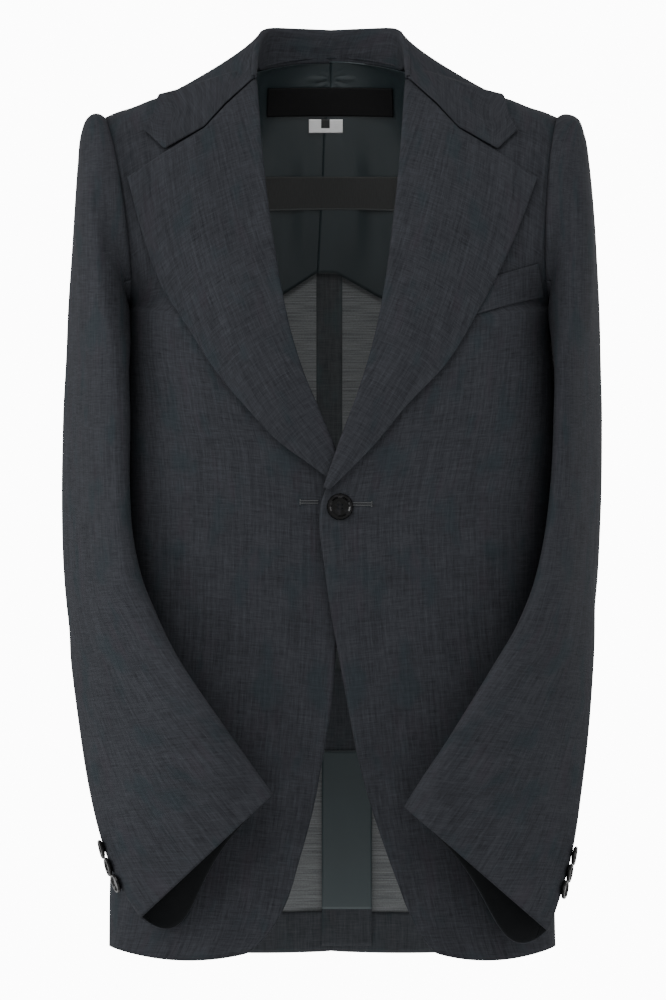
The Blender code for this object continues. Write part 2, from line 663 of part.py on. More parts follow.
def thread_holes(made, cutters):
    """Four thread holes through a button."""
    bm = bmesh.new()
    for turn in range(4):
        angle = math.radians(45 + 90 * turn)
        radius = THREAD_HOLE_RADIUS * MM
        place = bmesh.ops.create_cone(
            bm, cap_ends=True, segments=8, radius1=radius, radius2=radius, depth=THREAD_HOLE_DEPTH * MM
        )
        shift = Vector((math.cos(angle), math.sin(angle), 0)) * THREAD_HOLE_SPREAD * MM
        bmesh.ops.translate(bm, verts=place["verts"], vec=shift)
    mesh = bpy.data.meshes.new(made.name + "_holes")
    bm.to_mesh(mesh)
    bm.free()
    cutter = bpy.data.objects.new(mesh.name, mesh)
    cutter.hide_render = True
    cutter.display_type = "WIRE"
    cutters.objects.link(cutter)
    cutter.parent = made
    cut = made.modifiers.new("thread holes", "BOOLEAN")
    cut.operation = "DIFFERENCE"
    cut.object = cutter


def place_button(made, point, normal):
    """Sets a button's back a seam gap off the point, facing along the normal."""
    direction = Vector(normal).normalized()
    made.location = (Vector(point) + direction * SEAM_GAP) * MM
    made.rotation_euler = direction.to_track_quat("Z", "Y").to_euler()


def build_body(collection, suiting):
    across = {FRONT: np.linspace(0, 1, 12), BACK: np.linspace(0, 1, 11)}
    above = np.linspace(0, 1, 23)[1:]
    up = np.concatenate([HEM_ROWS, 1 - (1 - HEM_ROWS[-1]) * (1 - above) ** BODY_ROWS_POWER])
    for face, word in ((FRONT, "front"), (BACK, "back")):
        for side in (LEFT, RIGHT):
            points = panel_points(side, face, across[face], up)
            cloth(f"{word}_{SIDE_NAME[side]}", points, (0, face, 0), WALL, collection, suiting)


def build_lapels(collection, suiting):
    for side in (LEFT, RIGHT):
        points = lapel_points(side, np.linspace(0, 1, 7), np.linspace(0, 1, 16))
        cloth(f"lapel_{SIDE_NAME[side]}", points, (0, -1, 0), WALL, collection, suiting)


def build_collar(collection, suiting):
    along = np.linspace(0, 1, 15)
    half = collar_points(np.linspace(0, 1, 3), np.array([0, 0.25, 0.47, 0.65, 0.8, 0.9, 1]), along)
    other = half[-2::-1] * np.array([-1, 1, 1])
    points = np.concatenate([half, other])
    cloth("collar", points, (0, 0, 1), WALL, collection, suiting)


def build_sleeves(collection, suiting):
    along = np.linspace(0, 1, 20)
    gap = SLEEVE_SEAM_HALF_GAP
    halves = {
        "top": (SLEEVE_FRONT_SEAM + gap, SLEEVE_BACK_SEAM - gap, 13),
        "under": (SLEEVE_BACK_SEAM + gap, SLEEVE_FRONT_SEAM + 360 - gap, 9),
    }
    for side in (LEFT, RIGHT):
        for half, (start, end, columns) in halves.items():
            points = sleeve_points(side, np.radians(np.linspace(start, end, columns)), along)
            out = (side, -1, 0) if half == "top" else (-side, 1, 0)
            cloth(f"sleeve_{SIDE_NAME[side]}_{half}", points, out, WALL, collection, suiting)


def build_welt(collection, suiting):
    u, v = np.linspace(0, 1, 7)[None, :], np.linspace(0, 1, 3)[:, None]
    named = (WELT_INNER_BOTTOM, WELT_OUTER_BOTTOM, WELT_INNER_TOP, WELT_OUTER_TOP)
    corners = [np.array(corner, float) for corner in named]
    blend = [(1 - u) * (1 - v), u * (1 - v), (1 - u) * v, u * v]
    x, z = (sum(weight * corner[i] for weight, corner in zip(blend, corners)) for i in (0, 1))
    points = np.stack([x, -depth_at(LEFT, FRONT, x, z), z], axis=-1)
    points = moved_out(points, WALL + 2 * REST_GAP, (0, -1, 0))
    cloth("breast_welt", points, (0, -1, 0), THIN_WALL, collection, suiting)


def build_buttons(collection, cutters, horn):
    x, z = FRONT_BUTTON_PLACE
    made = button("front_button", FRONT_BUTTON_RADIUS, FRONT_BUTTON_THICKNESS, 28, collection, horn)
    thread_holes(made, cutters)
    y = -(depth_at(LEFT, FRONT, np.array(x), np.array(z)) + WALL)
    place_button(made, (x, float(y), z), (0, -1, 0))
    angle = math.radians(CUFF_BUTTON_ANGLE)
    for side in (LEFT, RIGHT):
        for number, distance in enumerate(CUFF_BUTTON_FROM_EDGE[side], 1):
            place = 1 - distance / CUFF_BUTTONS_SLEEVE_LENGTH
            near_angles = np.array([angle - 0.02, angle, angle + 0.02])
            near = sleeve_points(side, near_angles, np.array([place - 0.01, place, place + 0.01]))
            normal = np.cross(near[1, 2] - near[1, 0], near[2, 1] - near[0, 1])
            normal = normal / np.linalg.norm(normal)
            if normal[0] * side < 0:
                normal = -normal
            name = f"cuff_button_{SIDE_NAME[side]}_{number}"
            made = button(name, CUFF_BUTTON_RADIUS, CUFF_BUTTON_THICKNESS, 16, collection, horn)
            place_button(made, near[1, 1] + normal * (WALL + CUFF_BUTTON_GAP), normal)


def build_inside(collection, suiting, lining, band, paper):
    towards = (0, -1, 0)
    for side in (LEFT, RIGHT):
        u = np.linspace(0, 1, 13)[None, :]
        v = np.sin(np.pi / 2 * np.linspace(0, 1, 12))[:, None]
        x = SEAM_GAP + (LINING_HALF_WIDTH - SEAM_GAP) * u
        top = np.minimum(LINING_TOP_Z, top_line(BACK, x) - LINING_BELOW_SEAM)
        low = line_rows(LINING_EDGE, x)
        z = low + (top - low) * v
        points = inside_back(side * (x + 0 * z), z, LINING_OFFSET)
        cloth(f"back_lining_{SIDE_NAME[side]}", points, towards, THIN_WALL, collection, lining)
        rows = panel_points(side, BACK, np.linspace(0.1, 1, 10), np.array([0.0, 0.05]))
        low, high = rows[0], rows[1]
        share = np.array([0.02, 0.5, 1.0])[:, None] * HEM_TURN_UP / (high[:, 2] - low[:, 2])
        points = low + (high - low) * share[..., None] - np.array([0, HEM_OFFSET, 0])
        cloth(f"back_hem_{SIDE_NAME[side]}", points, towards, THIN_WALL, collection, suiting)
    width = INNER_BAND["half_width"]
    x, z = patch(-width, width, INNER_BAND["top"], INNER_BAND["bottom"], 10, 2)
    cloth("inner_band", inside_back(x, z, TRIM_OFFSET), towards, THIN_WALL, collection, band)
    width = NECK_LABEL["half_width"]
    x, z = patch(-width, width, NECK_LABEL["top"], NECK_LABEL["bottom"], 12, 3)
    cloth("neck_label", inside_back(x, z, TRIM_OFFSET + REST_GAP), towards, THIN_WALL, collection, band)
    x, z = patch(SIZE_TAG["left"], SIZE_TAG["right"], SIZE_TAG["top"], SIZE_TAG["bottom"], 2, 1)
    cloth("size_tag", inside_back(x, z, TRIM_OFFSET), towards, THIN_WALL, collection, paper)
    x, z = patch(SEAM_STRIP["left"], SEAM_STRIP["right"], SEAM_STRIP["top"], SEAM_STRIP["bottom"], 2, 12)
    cloth("centre_seam_strip", inside_back(x, z, HEM_OFFSET), towards, THIN_WALL, collection, suiting)
    under_offset = HEM_OFFSET + THIN_WALL + REST_GAP
    x, z = patch(VENT_LEFT, VENT_RIGHT, VENT_TOP, VENT_BOTTOM, 3, 5)
    cloth("vent_underlap", inside_back(x, z, under_offset), towards, THIN_WALL, collection, suiting)
    x, z = patch(VENT_LEFT, VENT_RIGHT, VENT_TOP, VENT_LINING_BOTTOM, 3, 4)
    lining_offset = under_offset + THIN_WALL + SEAM_GAP
    cloth("vent_lining", inside_back(x, z, lining_offset), towards, THIN_WALL, collection, lining)


def main():
    for old in list(bpy.data.objects):
        bpy.data.objects.remove(old)
    jacket = bpy.data.collections.new("tailored_jacket")
    cutters = bpy.data.collections.new("cutters")
    for collection in (jacket, cutters):
        bpy.context.scene.collection.children.link(collection)
    suiting = material("charcoal suiting", (0.035, 0.042, 0.048), 0.85)
    lining = material("lining", (0.016, 0.024, 0.027), 0.5)
    band = material("black tape", (0.006, 0.006, 0.007), 0.8)
    paper = material("white tag", (0.7, 0.7, 0.7), 0.7)
    horn = material("black horn", (0.01, 0.01, 0.012), 0.25)
    build_body(jacket, suiting)
    build_lapels(jacket, suiting)
    build_collar(jacket, suiting)
    build_sleeves(jacket, suiting)
    build_welt(jacket, suiting)
    build_buttons(jacket, cutters, horn)
    build_inside(jacket, suiting, lining, band, paper)


main()
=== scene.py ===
"""The look of a tailored one-button jacket, filled out as when worn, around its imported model.

X points to the wearer's left, Y to the back and Z up. Shapes are worked out in millimetres from the same
tables and functions as the model's own solids, on finer grids, and every cloth surface is a thin shell with
its creases laid in. In the functions x is the distance outwards from the jacket's middle, on either side.
"""

import math

import bpy
import numpy as np
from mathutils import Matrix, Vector


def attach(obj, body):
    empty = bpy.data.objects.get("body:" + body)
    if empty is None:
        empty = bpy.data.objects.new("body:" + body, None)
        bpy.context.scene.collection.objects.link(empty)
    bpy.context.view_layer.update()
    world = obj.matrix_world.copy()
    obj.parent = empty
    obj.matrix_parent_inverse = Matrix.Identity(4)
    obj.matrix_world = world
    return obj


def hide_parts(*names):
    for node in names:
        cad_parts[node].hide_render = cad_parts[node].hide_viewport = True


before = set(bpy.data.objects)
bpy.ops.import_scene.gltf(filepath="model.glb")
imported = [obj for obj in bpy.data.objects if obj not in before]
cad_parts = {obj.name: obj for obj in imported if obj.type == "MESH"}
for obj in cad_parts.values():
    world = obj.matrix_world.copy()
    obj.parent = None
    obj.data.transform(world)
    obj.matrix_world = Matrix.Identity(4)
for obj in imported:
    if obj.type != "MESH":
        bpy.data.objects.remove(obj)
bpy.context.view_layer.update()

MM = 0.001
LEFT, RIGHT = 1, -1
FRONT, BACK = -1, 1
SIDE_NAME = {LEFT: "left", RIGHT: "right"}
FORWARDS, BACKWARDS = np.array([0.0, -1.0, 0.0]), np.array([0.0, 1.0, 0.0])

# Cloth and gaps
WALL = 1.5
THIN_WALL = 0.9
REST_GAP = 0.4

# Steps of halving that find a height on a panel
HALVINGS = 26
# Points along a row's section that its arc is measured on
ARC_STEPS = 240

# Body: superellipse sections, rounder than a box and squarer than an ellipse
SECTION_POWER = {FRONT: 2.5, BACK: 2.3}
# The chest is squarer: what it adds to the power, and the heights where that starts, is full, eases and ends
CHEST_POWER = 0.5
CHEST_ROWS = (0.14, 0.34, 0.64, 0.8)
RIDGE_ZONE = 0.14
# The side point is at most this share of its row's depth, so that the section's width stays in bounds
SIDE_DEPTH_SHARE = 0.98
TINY = 1e-3
NECK_HALF_WIDTH = 59.0
NECK_DEPTH = 61.0
NECK_SIDE_Z = 14.5
NECK_BACK_Z = 24.0
NECK_SLOPE = 0.34
BACK_TOP_DEPTH = 72.0
HEM_SAG = 8.0
HEM_SAG_REACH = 0.2
# The hem's sag: a power of the sine across, and its share on the back
HEM_SAG_POWER = 0.8
BACK_SAG_SHARE = 0.5
# Rows above this share of the height bend to the shoulder line
SHOULDER_START = 0.7
# A back's columns: the share of them outside the neck, and the least way from the neck to the side
OUTER_SHARE = 0.6
NECK_TO_SIDE = 20.0

# Armhole: one closed loop that the fronts, the backs and the sleeve share
SHOULDER_TIP = (171.5, -23.5)
UNDERARM = {LEFT: (165.6, -165.0), RIGHT: (151.8, -165.0)}
ARMHOLE_HALF_DEPTH = 63.0
ARMHOLE_POWER = 2.2
ARMHOLE_FRONT_IN = {LEFT: 5.2, RIGHT: 5.5}
ARMHOLE_BACK_IN = 3.0

# Columns: height up the panels, place down the side, z at the front's edge and the front's depth at the
# middle, z at the centre-back seam and the back's depth at the middle.
# The place down the side is 0 at the shoulder tip, 1 at the underarm and 2 at the hem.
PANEL_ROWS = (
    (0.00, 2.00, -648, 108, -650, 100),
    (0.18, 1.75, -530, 105, -530, 95),
    (0.36, 1.50, -410, 102, -410, 86),
    (0.51, 1.28, -310, 102, -310, 83),
    (0.62, 1.12, -240, 104, -230, 90),
    (0.71, 1.00, -183, 100, -165, 95),
    (0.78, 0.78, -140, 92, -118, 94),
    (0.85, 0.54, -95, 80, -70, 90),
    (0.91, 0.36, -52, 70, -30, 84),
    (0.955, 0.20, -18, 62, 0, 78),
    (0.98, 0.09, 2, 58, 15, 74),
    (1.00, 0.00, 14.5, 56, NECK_BACK_Z, BACK_TOP_DEPTH),
)

# Columns: z, x of the side seam
SIDE_SEAM = {
    LEFT: (
        (-644, 167.5), (-600, 166.5), (-500, 163), (-400, 160.5), (-330, 166.5), (-270, 170), (-220, 168),
        (-185, 164.4), (-165, 165.6),
    ),
    RIGHT: (
        (-644, 165.5), (-600, 165), (-500, 160), (-400, 154), (-330, 157), (-270, 156.5), (-220, 154.6),
        (-185, 152.5), (-165, 151.8),
    ),
}

# Columns: x, z of the shoulder seam
SHOULDER_LINE = ((59, 14.5), (80, 7.5), (115, -3.8), (134, -9), (149, -15), (161, -18.8), (171.5, -23.5))

# Columns: z, x of each front's edge: cutaway, button, break and then the roll line
FRONT_EDGE = {
    LEFT: (
        (-648, 78), (-638, 69.5), (-618, 58.5), (-596, 50), (-566, 39), (-534, 28.5), (-506, 21),
        (-455, 11), (-414, 3.5), (-388, -1), (-355, -5.5), (-325, -8.8), (-312, -7.6), (-300, -3.6),
        (-292, -0.6), (-262, 12), (-221, 26.5), (-180, 38.5), (-148, 45), (-92, 51), (-33, 56.5), (16, 59),
    ),
    RIGHT: (
        (-648, 62), (-643, 56), (-634, 47), (-618, 37), (-576, 23), (-538, 12.8), (-510, 7.5),
        (-465, 0), (-421, -4), (-388, -6.5), (-355, -8.5), (-316, -9.5), (-300, -8),
        (-273, -2.2), (-261, 3.8), (-238, 12.8), (-215, 24), (-189, 31.5), (-151, 39.8), (-93, 48.8),
        (-33, 55.5), (16, 59),
    ),
}
LAP_STEP = 3.0
LAP_FULL_X = 5.0
LAP_END_X = 40.0

# Lapels. Columns: place up the lapel, x and z on the roll line, x and z on the outer edge
LAPEL_ROWS = {
    LEFT: (
        (0.00, -4.6, -300, -1.6, -302),
        (0.05, -0.8, -289, 10, -290.5),
        (0.12, 8, -264, 31, -269),
        (0.25, 21.5, -228, 56, -239),
        (0.40, 33.5, -188, 86, -207),
        (0.55, 41.5, -148, 107, -173),
        (0.70, 47.5, -103, 126, -137),
        (0.85, 52.5, -55, 142, -101),
        (1.00, 57, 6, 154.5, -67.5),
    ),
    RIGHT: (
        (0.00, -6.6, -292, -2.6, -296.5),
        (0.05, -3.2, -274, 13, -284.5),
        (0.12, 8.5, -245, 36, -268),
        (0.25, 20, -218, 63, -240),
        (0.40, 31, -184, 86, -212.5),
        (0.55, 38.5, -149, 107, -179.5),
        (0.70, 46, -103, 127, -148),
        (0.85, 52, -55, 141, -109),
        (1.00, 57, 6, 152.5, -67),
    ),
}
# Columns: share of the way from the roll line to the tip, drop of the gorge below the straight line
GORGE_DROP = ((0, 0), (0.22, 3), (0.39, 8), (0.70, 3.2), (1, 0))
LAPEL_FOLD_RADIUS = 0.9
LAPEL_EDGE_LIFT = 2.7
LAPEL_BULGE = 2.6
# The bulge is less below this height, and its crest stands towards the roll line by this factor
LAPEL_SMALL = 0.3
LAPEL_PEAK = 1.15
FOLD_STEPS = 4

# Collar. Columns: place from the front end to the centre back, then x, y, z of the neck seam
COLLAR_NECK = (
    (0.00, 58.6, -23, 8.5),
    (0.15, 58.6, -12, 10.5),
    (0.30, 59, 2, 13.5),
    (0.50, 56.5, 20, 14),
    (0.70, 44.5, 42.5, 16.5),
    (0.85, 25, 57.2, 19.5),
    (1.00, 0, 62.6, 20.5),
)
# The same columns for the fold at the top of the stand
COLLAR_FOLD = (
    (0.00, 57, -26, 9.5),
    (0.15, 56.6, -13, 18),
    (0.30, 55.6, 4, 29),
    (0.50, 52, 27, 40.5),
    (0.70, 44.5, 46.5, 45.6),
    (0.85, 25, 61, 45.4),
    (1.00, 0, 66, 44.4),
)
# The same columns for the fall's outer edge
COLLAR_EDGE = (
    (0.00, 140.5, -40, -31),
    (0.15, 132, -24, -18),
    (0.30, 119, -8, -4),
    (0.42, 107, 6, 1.5),
    (0.56, 95, 40, -6),
    (0.70, 74, 68, -11),
    (0.85, 41, 82, -13),
    (1.00, 0, 86, -13),
)
# The fall's front end. Columns: share across the fall, x, z: gorge seam to the notch, then the free end
COLLAR_END = ((0, 57.3, 8.5), (0.25, 79, -11.2), (0.47, 95, -29.2), (0.8, 124.8, -45.8), (1, 140.5, -31))
COLLAR_FOLD_RADIUS = 1.2
COLLAR_REST = 2.3
COLLAR_FRONT = 0.35
COLLAR_SMOOTHING = 8
RIDGE_Y = 5.0
NECK_MARGIN = 4.0

# Sleeves. Columns: place down the sleeve, x and z on its outer edge as seen from the front, x and z on
# its inner edge, y of the middle, half the sleeve's long width, half its short width (0: as wide as seen)
SLEEVE_ROWS = {
    LEFT: (
        (0.000, 174.5, -23, 166.5, -165, 0, 63, 0),
        (0.015, 179, -20.5, 166.5, -167, 0, 64, 0),
        (0.035, 186, -22.5, 166.4, -168.5, 0, 65, 0),
        (0.060, 190, -33, 166.3, -170, -1, 66, 0),
        (0.105, 193.5, -56, 166.5, -173, -3, 67.5, 60),
        (0.160, 197, -92, 167.2, -178, -5, 69.5, 44.9),
        (0.220, 200, -138, 168, -187, -8, 72, 26.9),
        (0.285, 202.3, -190, 168.4, -206, -11, 74, 12.9),
        (0.360, 203.6, -246, 167.6, -248, -14, 75, 11.5),
        (0.450, 202.8, -312, 164.8, -303, -18, 75, 11.5),
        (0.510, 201, -352, 160, -340, -25, 75, 13),
        (0.570, 198.7, -392, 152.5, -372, -38, 75, 15.5),
        (0.635, 196.5, -434, 140.5, -402, -52, 75, 18),
        (0.710, 193, -480, 124, -430, -72, 75, 18),
        (0.785, 187.5, -527, 106, -459, -90, 74.5, 18),
        (0.860, 181, -570, 87, -489, -105, 74, 18),
        (0.935, 172, -604, 70, -514, -114, 73.5, 18),
        (1.000, 162.5, -632, 54.8, -538, -118, 73, 18),
    ),
    RIGHT: (
        (0.000, 174.5, -23, 155.5, -165, 0, 63, 0),
        (0.015, 179, -20, 155.5, -167, 0, 64, 0),
        (0.035, 184, -22.5, 155.3, -168.5, 0, 65, 0),
        (0.060, 187.5, -33, 155.1, -170, -1, 66, 0),
        (0.105, 189.6, -56, 154.8, -173, -3, 67.5, 60.9),
        (0.160, 192.2, -92, 154.4, -178, -5, 69.5, 46.3),
        (0.220, 195.3, -138, 153.7, -187, -8, 72, 29),
        (0.285, 198.2, -188, 152.6, -206, -11, 74.5, 18.3),
        (0.360, 201, -245, 151.4, -248, -14, 76, 17.2),
        (0.450, 202, -310, 151.7, -300, -18, 76, 15.5),
        (0.510, 201, -352, 149.5, -334, -25, 76, 17),
        (0.570, 198, -392, 143.5, -364, -34, 76, 20),
        (0.635, 194.5, -432, 134, -389, -52, 76, 19.5),
        (0.710, 188.5, -478, 117, -424, -72, 75.5, 19),
        (0.785, 181, -525, 98, -453, -90, 74.5, 18.5),
        (0.860, 171, -566, 78, -481, -105, 73, 18),
        (0.935, 158, -598, 60, -506, -114, 71.5, 17.5),
        (1.000, 142.5, -622, 43.5, -529, -118, 70, 17),
    ),
}
SLEEVE_POWER = 2.2
SLEEVE_FRONT_SEAM = -40.0
SLEEVE_BACK_SEAM = 190.0
SLEEVE_SEAM_HALF_GAP = 0.05
ARMHOLE_BLEND = 0.10
SLEEVE_SEAT = -0.8
UNDERARM_SEAT = 0.4
CUFF_DROP = 48.0
CUFF_DROP_ZONE = 0.1
CUFF_DROP_POWER = 3.0

# Breast welt on the wearer's left front: x, z of its lower inner, lower outer, upper inner and upper outer
# corners
WELT_CORNERS = ((106.0, -171.5), (158.0, -156.0), (108.0, -145.5), (154.5, -131.0))

# Inside of the back
LINING_HALF_WIDTH = 118.0
LINING_EDGE = ((0, -138), (12, -138), (38, -155), (80, -176), (118, -190))
LINING_TOP_Z = 23.8
LINING_BELOW_SEAM = 0.2
LINING_OFFSET = 2.0
TRIM_OFFSET = LINING_OFFSET + THIN_WALL + 2 * REST_GAP
BAND_ARCH = 2.8
HEM_OFFSET = 0.6
HEM_TURN_UP = 31.0
# The turned-up hem starts this share in from the side and up from the edge, and follows the back between its
# lowest row and this height
HEM_SIDE, HEM_FOOT, HEM_ROW = 0.1, 0.02, 0.05
UNDERLAP_OFFSET = HEM_OFFSET + THIN_WALL + REST_GAP
VENT_LEFT, VENT_RIGHT, VENT_TOP = -7.0, 31.0, -498.0
UNDERLAP_RISE = 60.0


def smooth_rows(rows, at):
    """A table's columns at the given places: cubics through the rows, with slopes from their neighbours."""
    table = np.array(rows, float)
    knots, values = table[:, 0], table[:, 1:]
    slopes = np.gradient(values, knots, axis=0)
    at = np.clip(np.asarray(at, float), knots[0], knots[-1])
    first = np.clip(np.searchsorted(knots, at, side="right") - 1, 0, len(knots) - 2)
    step = (knots[first + 1] - knots[first])[..., None]
    t = ((at - knots[first])[..., None]) / step
    start, end = values[first], values[first + 1]
    found = (
        (2 * t**3 - 3 * t**2 + 1) * start
        + (t**3 - 2 * t**2 + t) * step * slopes[first]
        + (3 * t**2 - 2 * t**3) * end
        + (t**3 - t**2) * step * slopes[first + 1]
    )
    return np.moveaxis(found, -1, 0)


def line_rows(rows, at, column=1):
    """One column of a table, followed in straight lines over the first."""
    table = np.array(rows, float)
    return np.interp(at, table[:, 0], table[:, column])


def evenly(count):
    """Equal steps from 0 to 1."""
    return np.linspace(0, 1, count)


def eased(t):
    """0 up to t = 0, 1 from t = 1, and smooth between."""
    t = np.clip(t, 0, 1)
    return t * t * (3 - 2 * t)


def superellipse(angle, exponent):
    """The point of a superellipse at an angle: its cosine and sine to the power 2 / exponent, signs kept."""
    return [np.sign(part) * np.abs(part) ** (2 / exponent) for part in (np.cos(angle), np.sin(angle))]


def armhole(side, angle):
    """The armhole at an angle: 0 at the front, a quarter turn at the shoulder, three at the underarm."""
    across, up = superellipse(angle, ARMHOLE_POWER)
    tip, under = np.array(SHOULDER_TIP), np.array(UNDERARM[side])
    middle, half = (tip + under) / 2, (tip - under) / 2
    bow = ARMHOLE_FRONT_IN[side] * np.maximum(across, 0) ** 2 + ARMHOLE_BACK_IN * np.maximum(-across, 0) ** 2
    return middle[0] + up * half[0] - bow, -across * ARMHOLE_HALF_DEPTH, middle[1] + up * half[1]


def side_curve(side, face, place):
    """The panel's side: down the armhole to the underarm, then down the side seam. y is given as a size."""
    angle = np.pi / 2 + face * np.pi * np.minimum(place, 1)
    x, y, z = armhole(side, angle)
    below = place > 1
    hem = SIDE_SEAM[side][0][0]
    seam_z = UNDERARM[side][1] + (hem - UNDERARM[side][1]) * (np.maximum(place, 1) - 1)
    (seam_x,) = smooth_rows(SIDE_SEAM[side], seam_z)
    return np.where(below, seam_x, x), np.where(below, 0, np.abs(y)), np.where(below, seam_z, z)


def ridge_share(v):
    """How far a panel has turned over from the shoulder seam: a quarter circle from 0 on it to 1 below."""
    left = 1 - np.clip((1 - v) / RIDGE_ZONE, 0, 1)
    return np.sqrt(1 - left**2)


def panel_rows(side, face, v):
    """What each row of a panel needs: its side point, its end, its depth and the width of its section."""
    place, *ends = smooth_rows(PANEL_ROWS, v)
    end_z, depth = ends[:2] if face == FRONT else ends[2:]
    x, y, z = side_curve(side, face, place)
    end_x, n = np.zeros_like(v), np.full_like(v, SECTION_POWER[face])
    if face == FRONT:
        depth = np.maximum(depth * ridge_share(v), TINY)
        (end_x,) = smooth_rows(FRONT_EDGE[side], end_z)
        start, full, still, end = CHEST_ROWS
        n = n + CHEST_POWER * eased((v - start) / (full - start)) * eased((end - v) / (end - still))
    width = x / np.maximum(1 - np.minimum(y / depth, SIDE_DEPTH_SHARE) ** n, TINY) ** (1 / n)
    return {"x": x, "z": z, "end_x": end_x, "end_z": end_z, "depth": depth, "width": width, "power": n}


def section(rows, x):
    """The body's depth at x in a row's section, a superellipse: depth (1 - (x / width)^n)^(1 / n)."""
    n = rows["power"]
    return rows["depth"] * np.maximum(1 - np.abs(x / rows["width"]) ** n, 0) ** (1 / n)


def panel_z(face, rows, x, v):
    """z in a row: straight from side to end, bent to the shoulder line above and sagging at the hem."""
    share = (rows["x"] - x) / (rows["x"] - rows["end_x"])
    z = rows["z"] + (rows["end_z"] - rows["z"]) * share
    tip_x, tip_z = SHOULDER_TIP
    top_end_x, top_end_z = (NECK_HALF_WIDTH, NECK_SIDE_Z) if face == FRONT else (0.0, NECK_BACK_Z)
    top_x = x * tip_x / rows["x"]
    straight = tip_z + (top_end_z - tip_z) * (tip_x - top_x) / (tip_x - top_end_x)
    near_top = np.clip((v - SHOULDER_START) / (1 - SHOULDER_START), 0, 1) ** 2
    z = z + near_top * (top_line(face, top_x) - straight)
    sag = HEM_SAG * np.sin(np.pi * np.clip(share, 0, 1)) ** HEM_SAG_POWER
    sag = sag * np.clip(1 - v / HEM_SAG_REACH, 0, 1) ** 2
    return z - (sag if face == FRONT else BACK_SAG_SHARE * sag)


def top_line(face, x):
    """z of a panel's top: the shoulder seam and, on the back, the neckline."""
    (z,) = smooth_rows(SHOULDER_LINE, np.maximum(x, NECK_HALF_WIDTH))
    if face == FRONT:
        return z + np.maximum(NECK_HALF_WIDTH - x, 0) * NECK_SLOPE
    rise = (NECK_BACK_Z - NECK_SIDE_Z) * (1 - np.minimum(np.abs(x) / NECK_HALF_WIDTH, 1) ** 2)
    return np.where(x < NECK_HALF_WIDTH, NECK_SIDE_Z + rise, z)


def panel_depth(side, face, rows, x, v):
    """y of a panel, as a size, at x in a row.

    The back's top row runs along the seam and the neckline. Towards the middle the left front steps out and
    the right one in, so that the left laps over the right.
    """
    y = section(rows, x)
    if face == BACK:
        top_x = x * SHOULDER_TIP[0] / rows["x"]
        n = SECTION_POWER[BACK]
        top_arc = BACK_TOP_DEPTH * np.maximum(1 - np.abs(top_x / SHOULDER_TIP[0]) ** n, 0) ** (1 / n)
        neck = NECK_DEPTH * np.sqrt(np.maximum(1 - (top_x / NECK_HALF_WIDTH) ** 2, 0))
        return y - (1 - ridge_share(v)) * (top_arc - neck)
    return y + side * LAP_STEP * eased((LAP_END_X - x) / (LAP_END_X - LAP_FULL_X))


def spread(rows, start, end, shares):
    """x at shares of the length of each row's arc between start and end."""
    t = evenly(ARC_STEPS)
    dense = end[:, None] + (start - end)[:, None] * (1 - (1 - t) ** 2)
    deep = section({k: rows[k][:, None] for k in ("depth", "width", "power")}, dense)
    steps = np.cumsum(np.hypot(np.diff(dense), np.diff(deep)), axis=1)
    length = np.concatenate([np.zeros((len(start), 1)), steps], axis=1)
    length = length[:, -1:] - length
    return np.stack([np.interp(shares * total[0], total[::-1], xs[::-1]) for total, xs in zip(length, dense)])


def panel_points(side, face, across, up):
    """A front or back as a grid: a row for each height in up and a column for each share across.

    A row runs from the side to the edge or centre seam at equal steps of its arc. Its x, its section's depth
    and its z give each point.
    """
    rows = panel_rows(side, face, up)
    if face == FRONT:
        x = spread(rows, rows["x"], rows["end_x"], across)
    else:
        neck = np.minimum(np.full_like(up, NECK_HALF_WIDTH), rows["x"] - NECK_TO_SIDE)
        outer = across[across <= OUTER_SHARE] / OUTER_SHARE
        inner = (across[across > OUTER_SHARE] - OUTER_SHARE) / (1 - OUTER_SHARE)
        middle = neck[:, None] * np.cos(np.pi / 2 * inner)
        x = np.concatenate([spread(rows, rows["x"], neck, outer), middle], axis=1)
    wide = {k: value[:, None] for k, value in rows.items()}
    v = up[:, None]
    y = panel_depth(side, face, wide, x, v)
    return np.stack([side * x, face * y, panel_z(face, wide, x, v)], axis=-1)


def depth_at(side, face, x, z):
    """y of the body's inner surface, as a size, at (x, z) seen from the front: the height by halving."""
    x, z = np.broadcast_arrays(np.asarray(x, float), np.asarray(z, float))
    low, high = np.zeros(x.shape), np.ones(x.shape)
    for _ in range(HALVINGS):
        v = (low + high) / 2
        above = panel_z(face, panel_rows(side, face, v), x, v) > z
        high = np.where(above, v, high)
        low = np.where(above, low, v)
    v = (low + high) / 2
    return panel_depth(side, face, panel_rows(side, face, v), x, v)


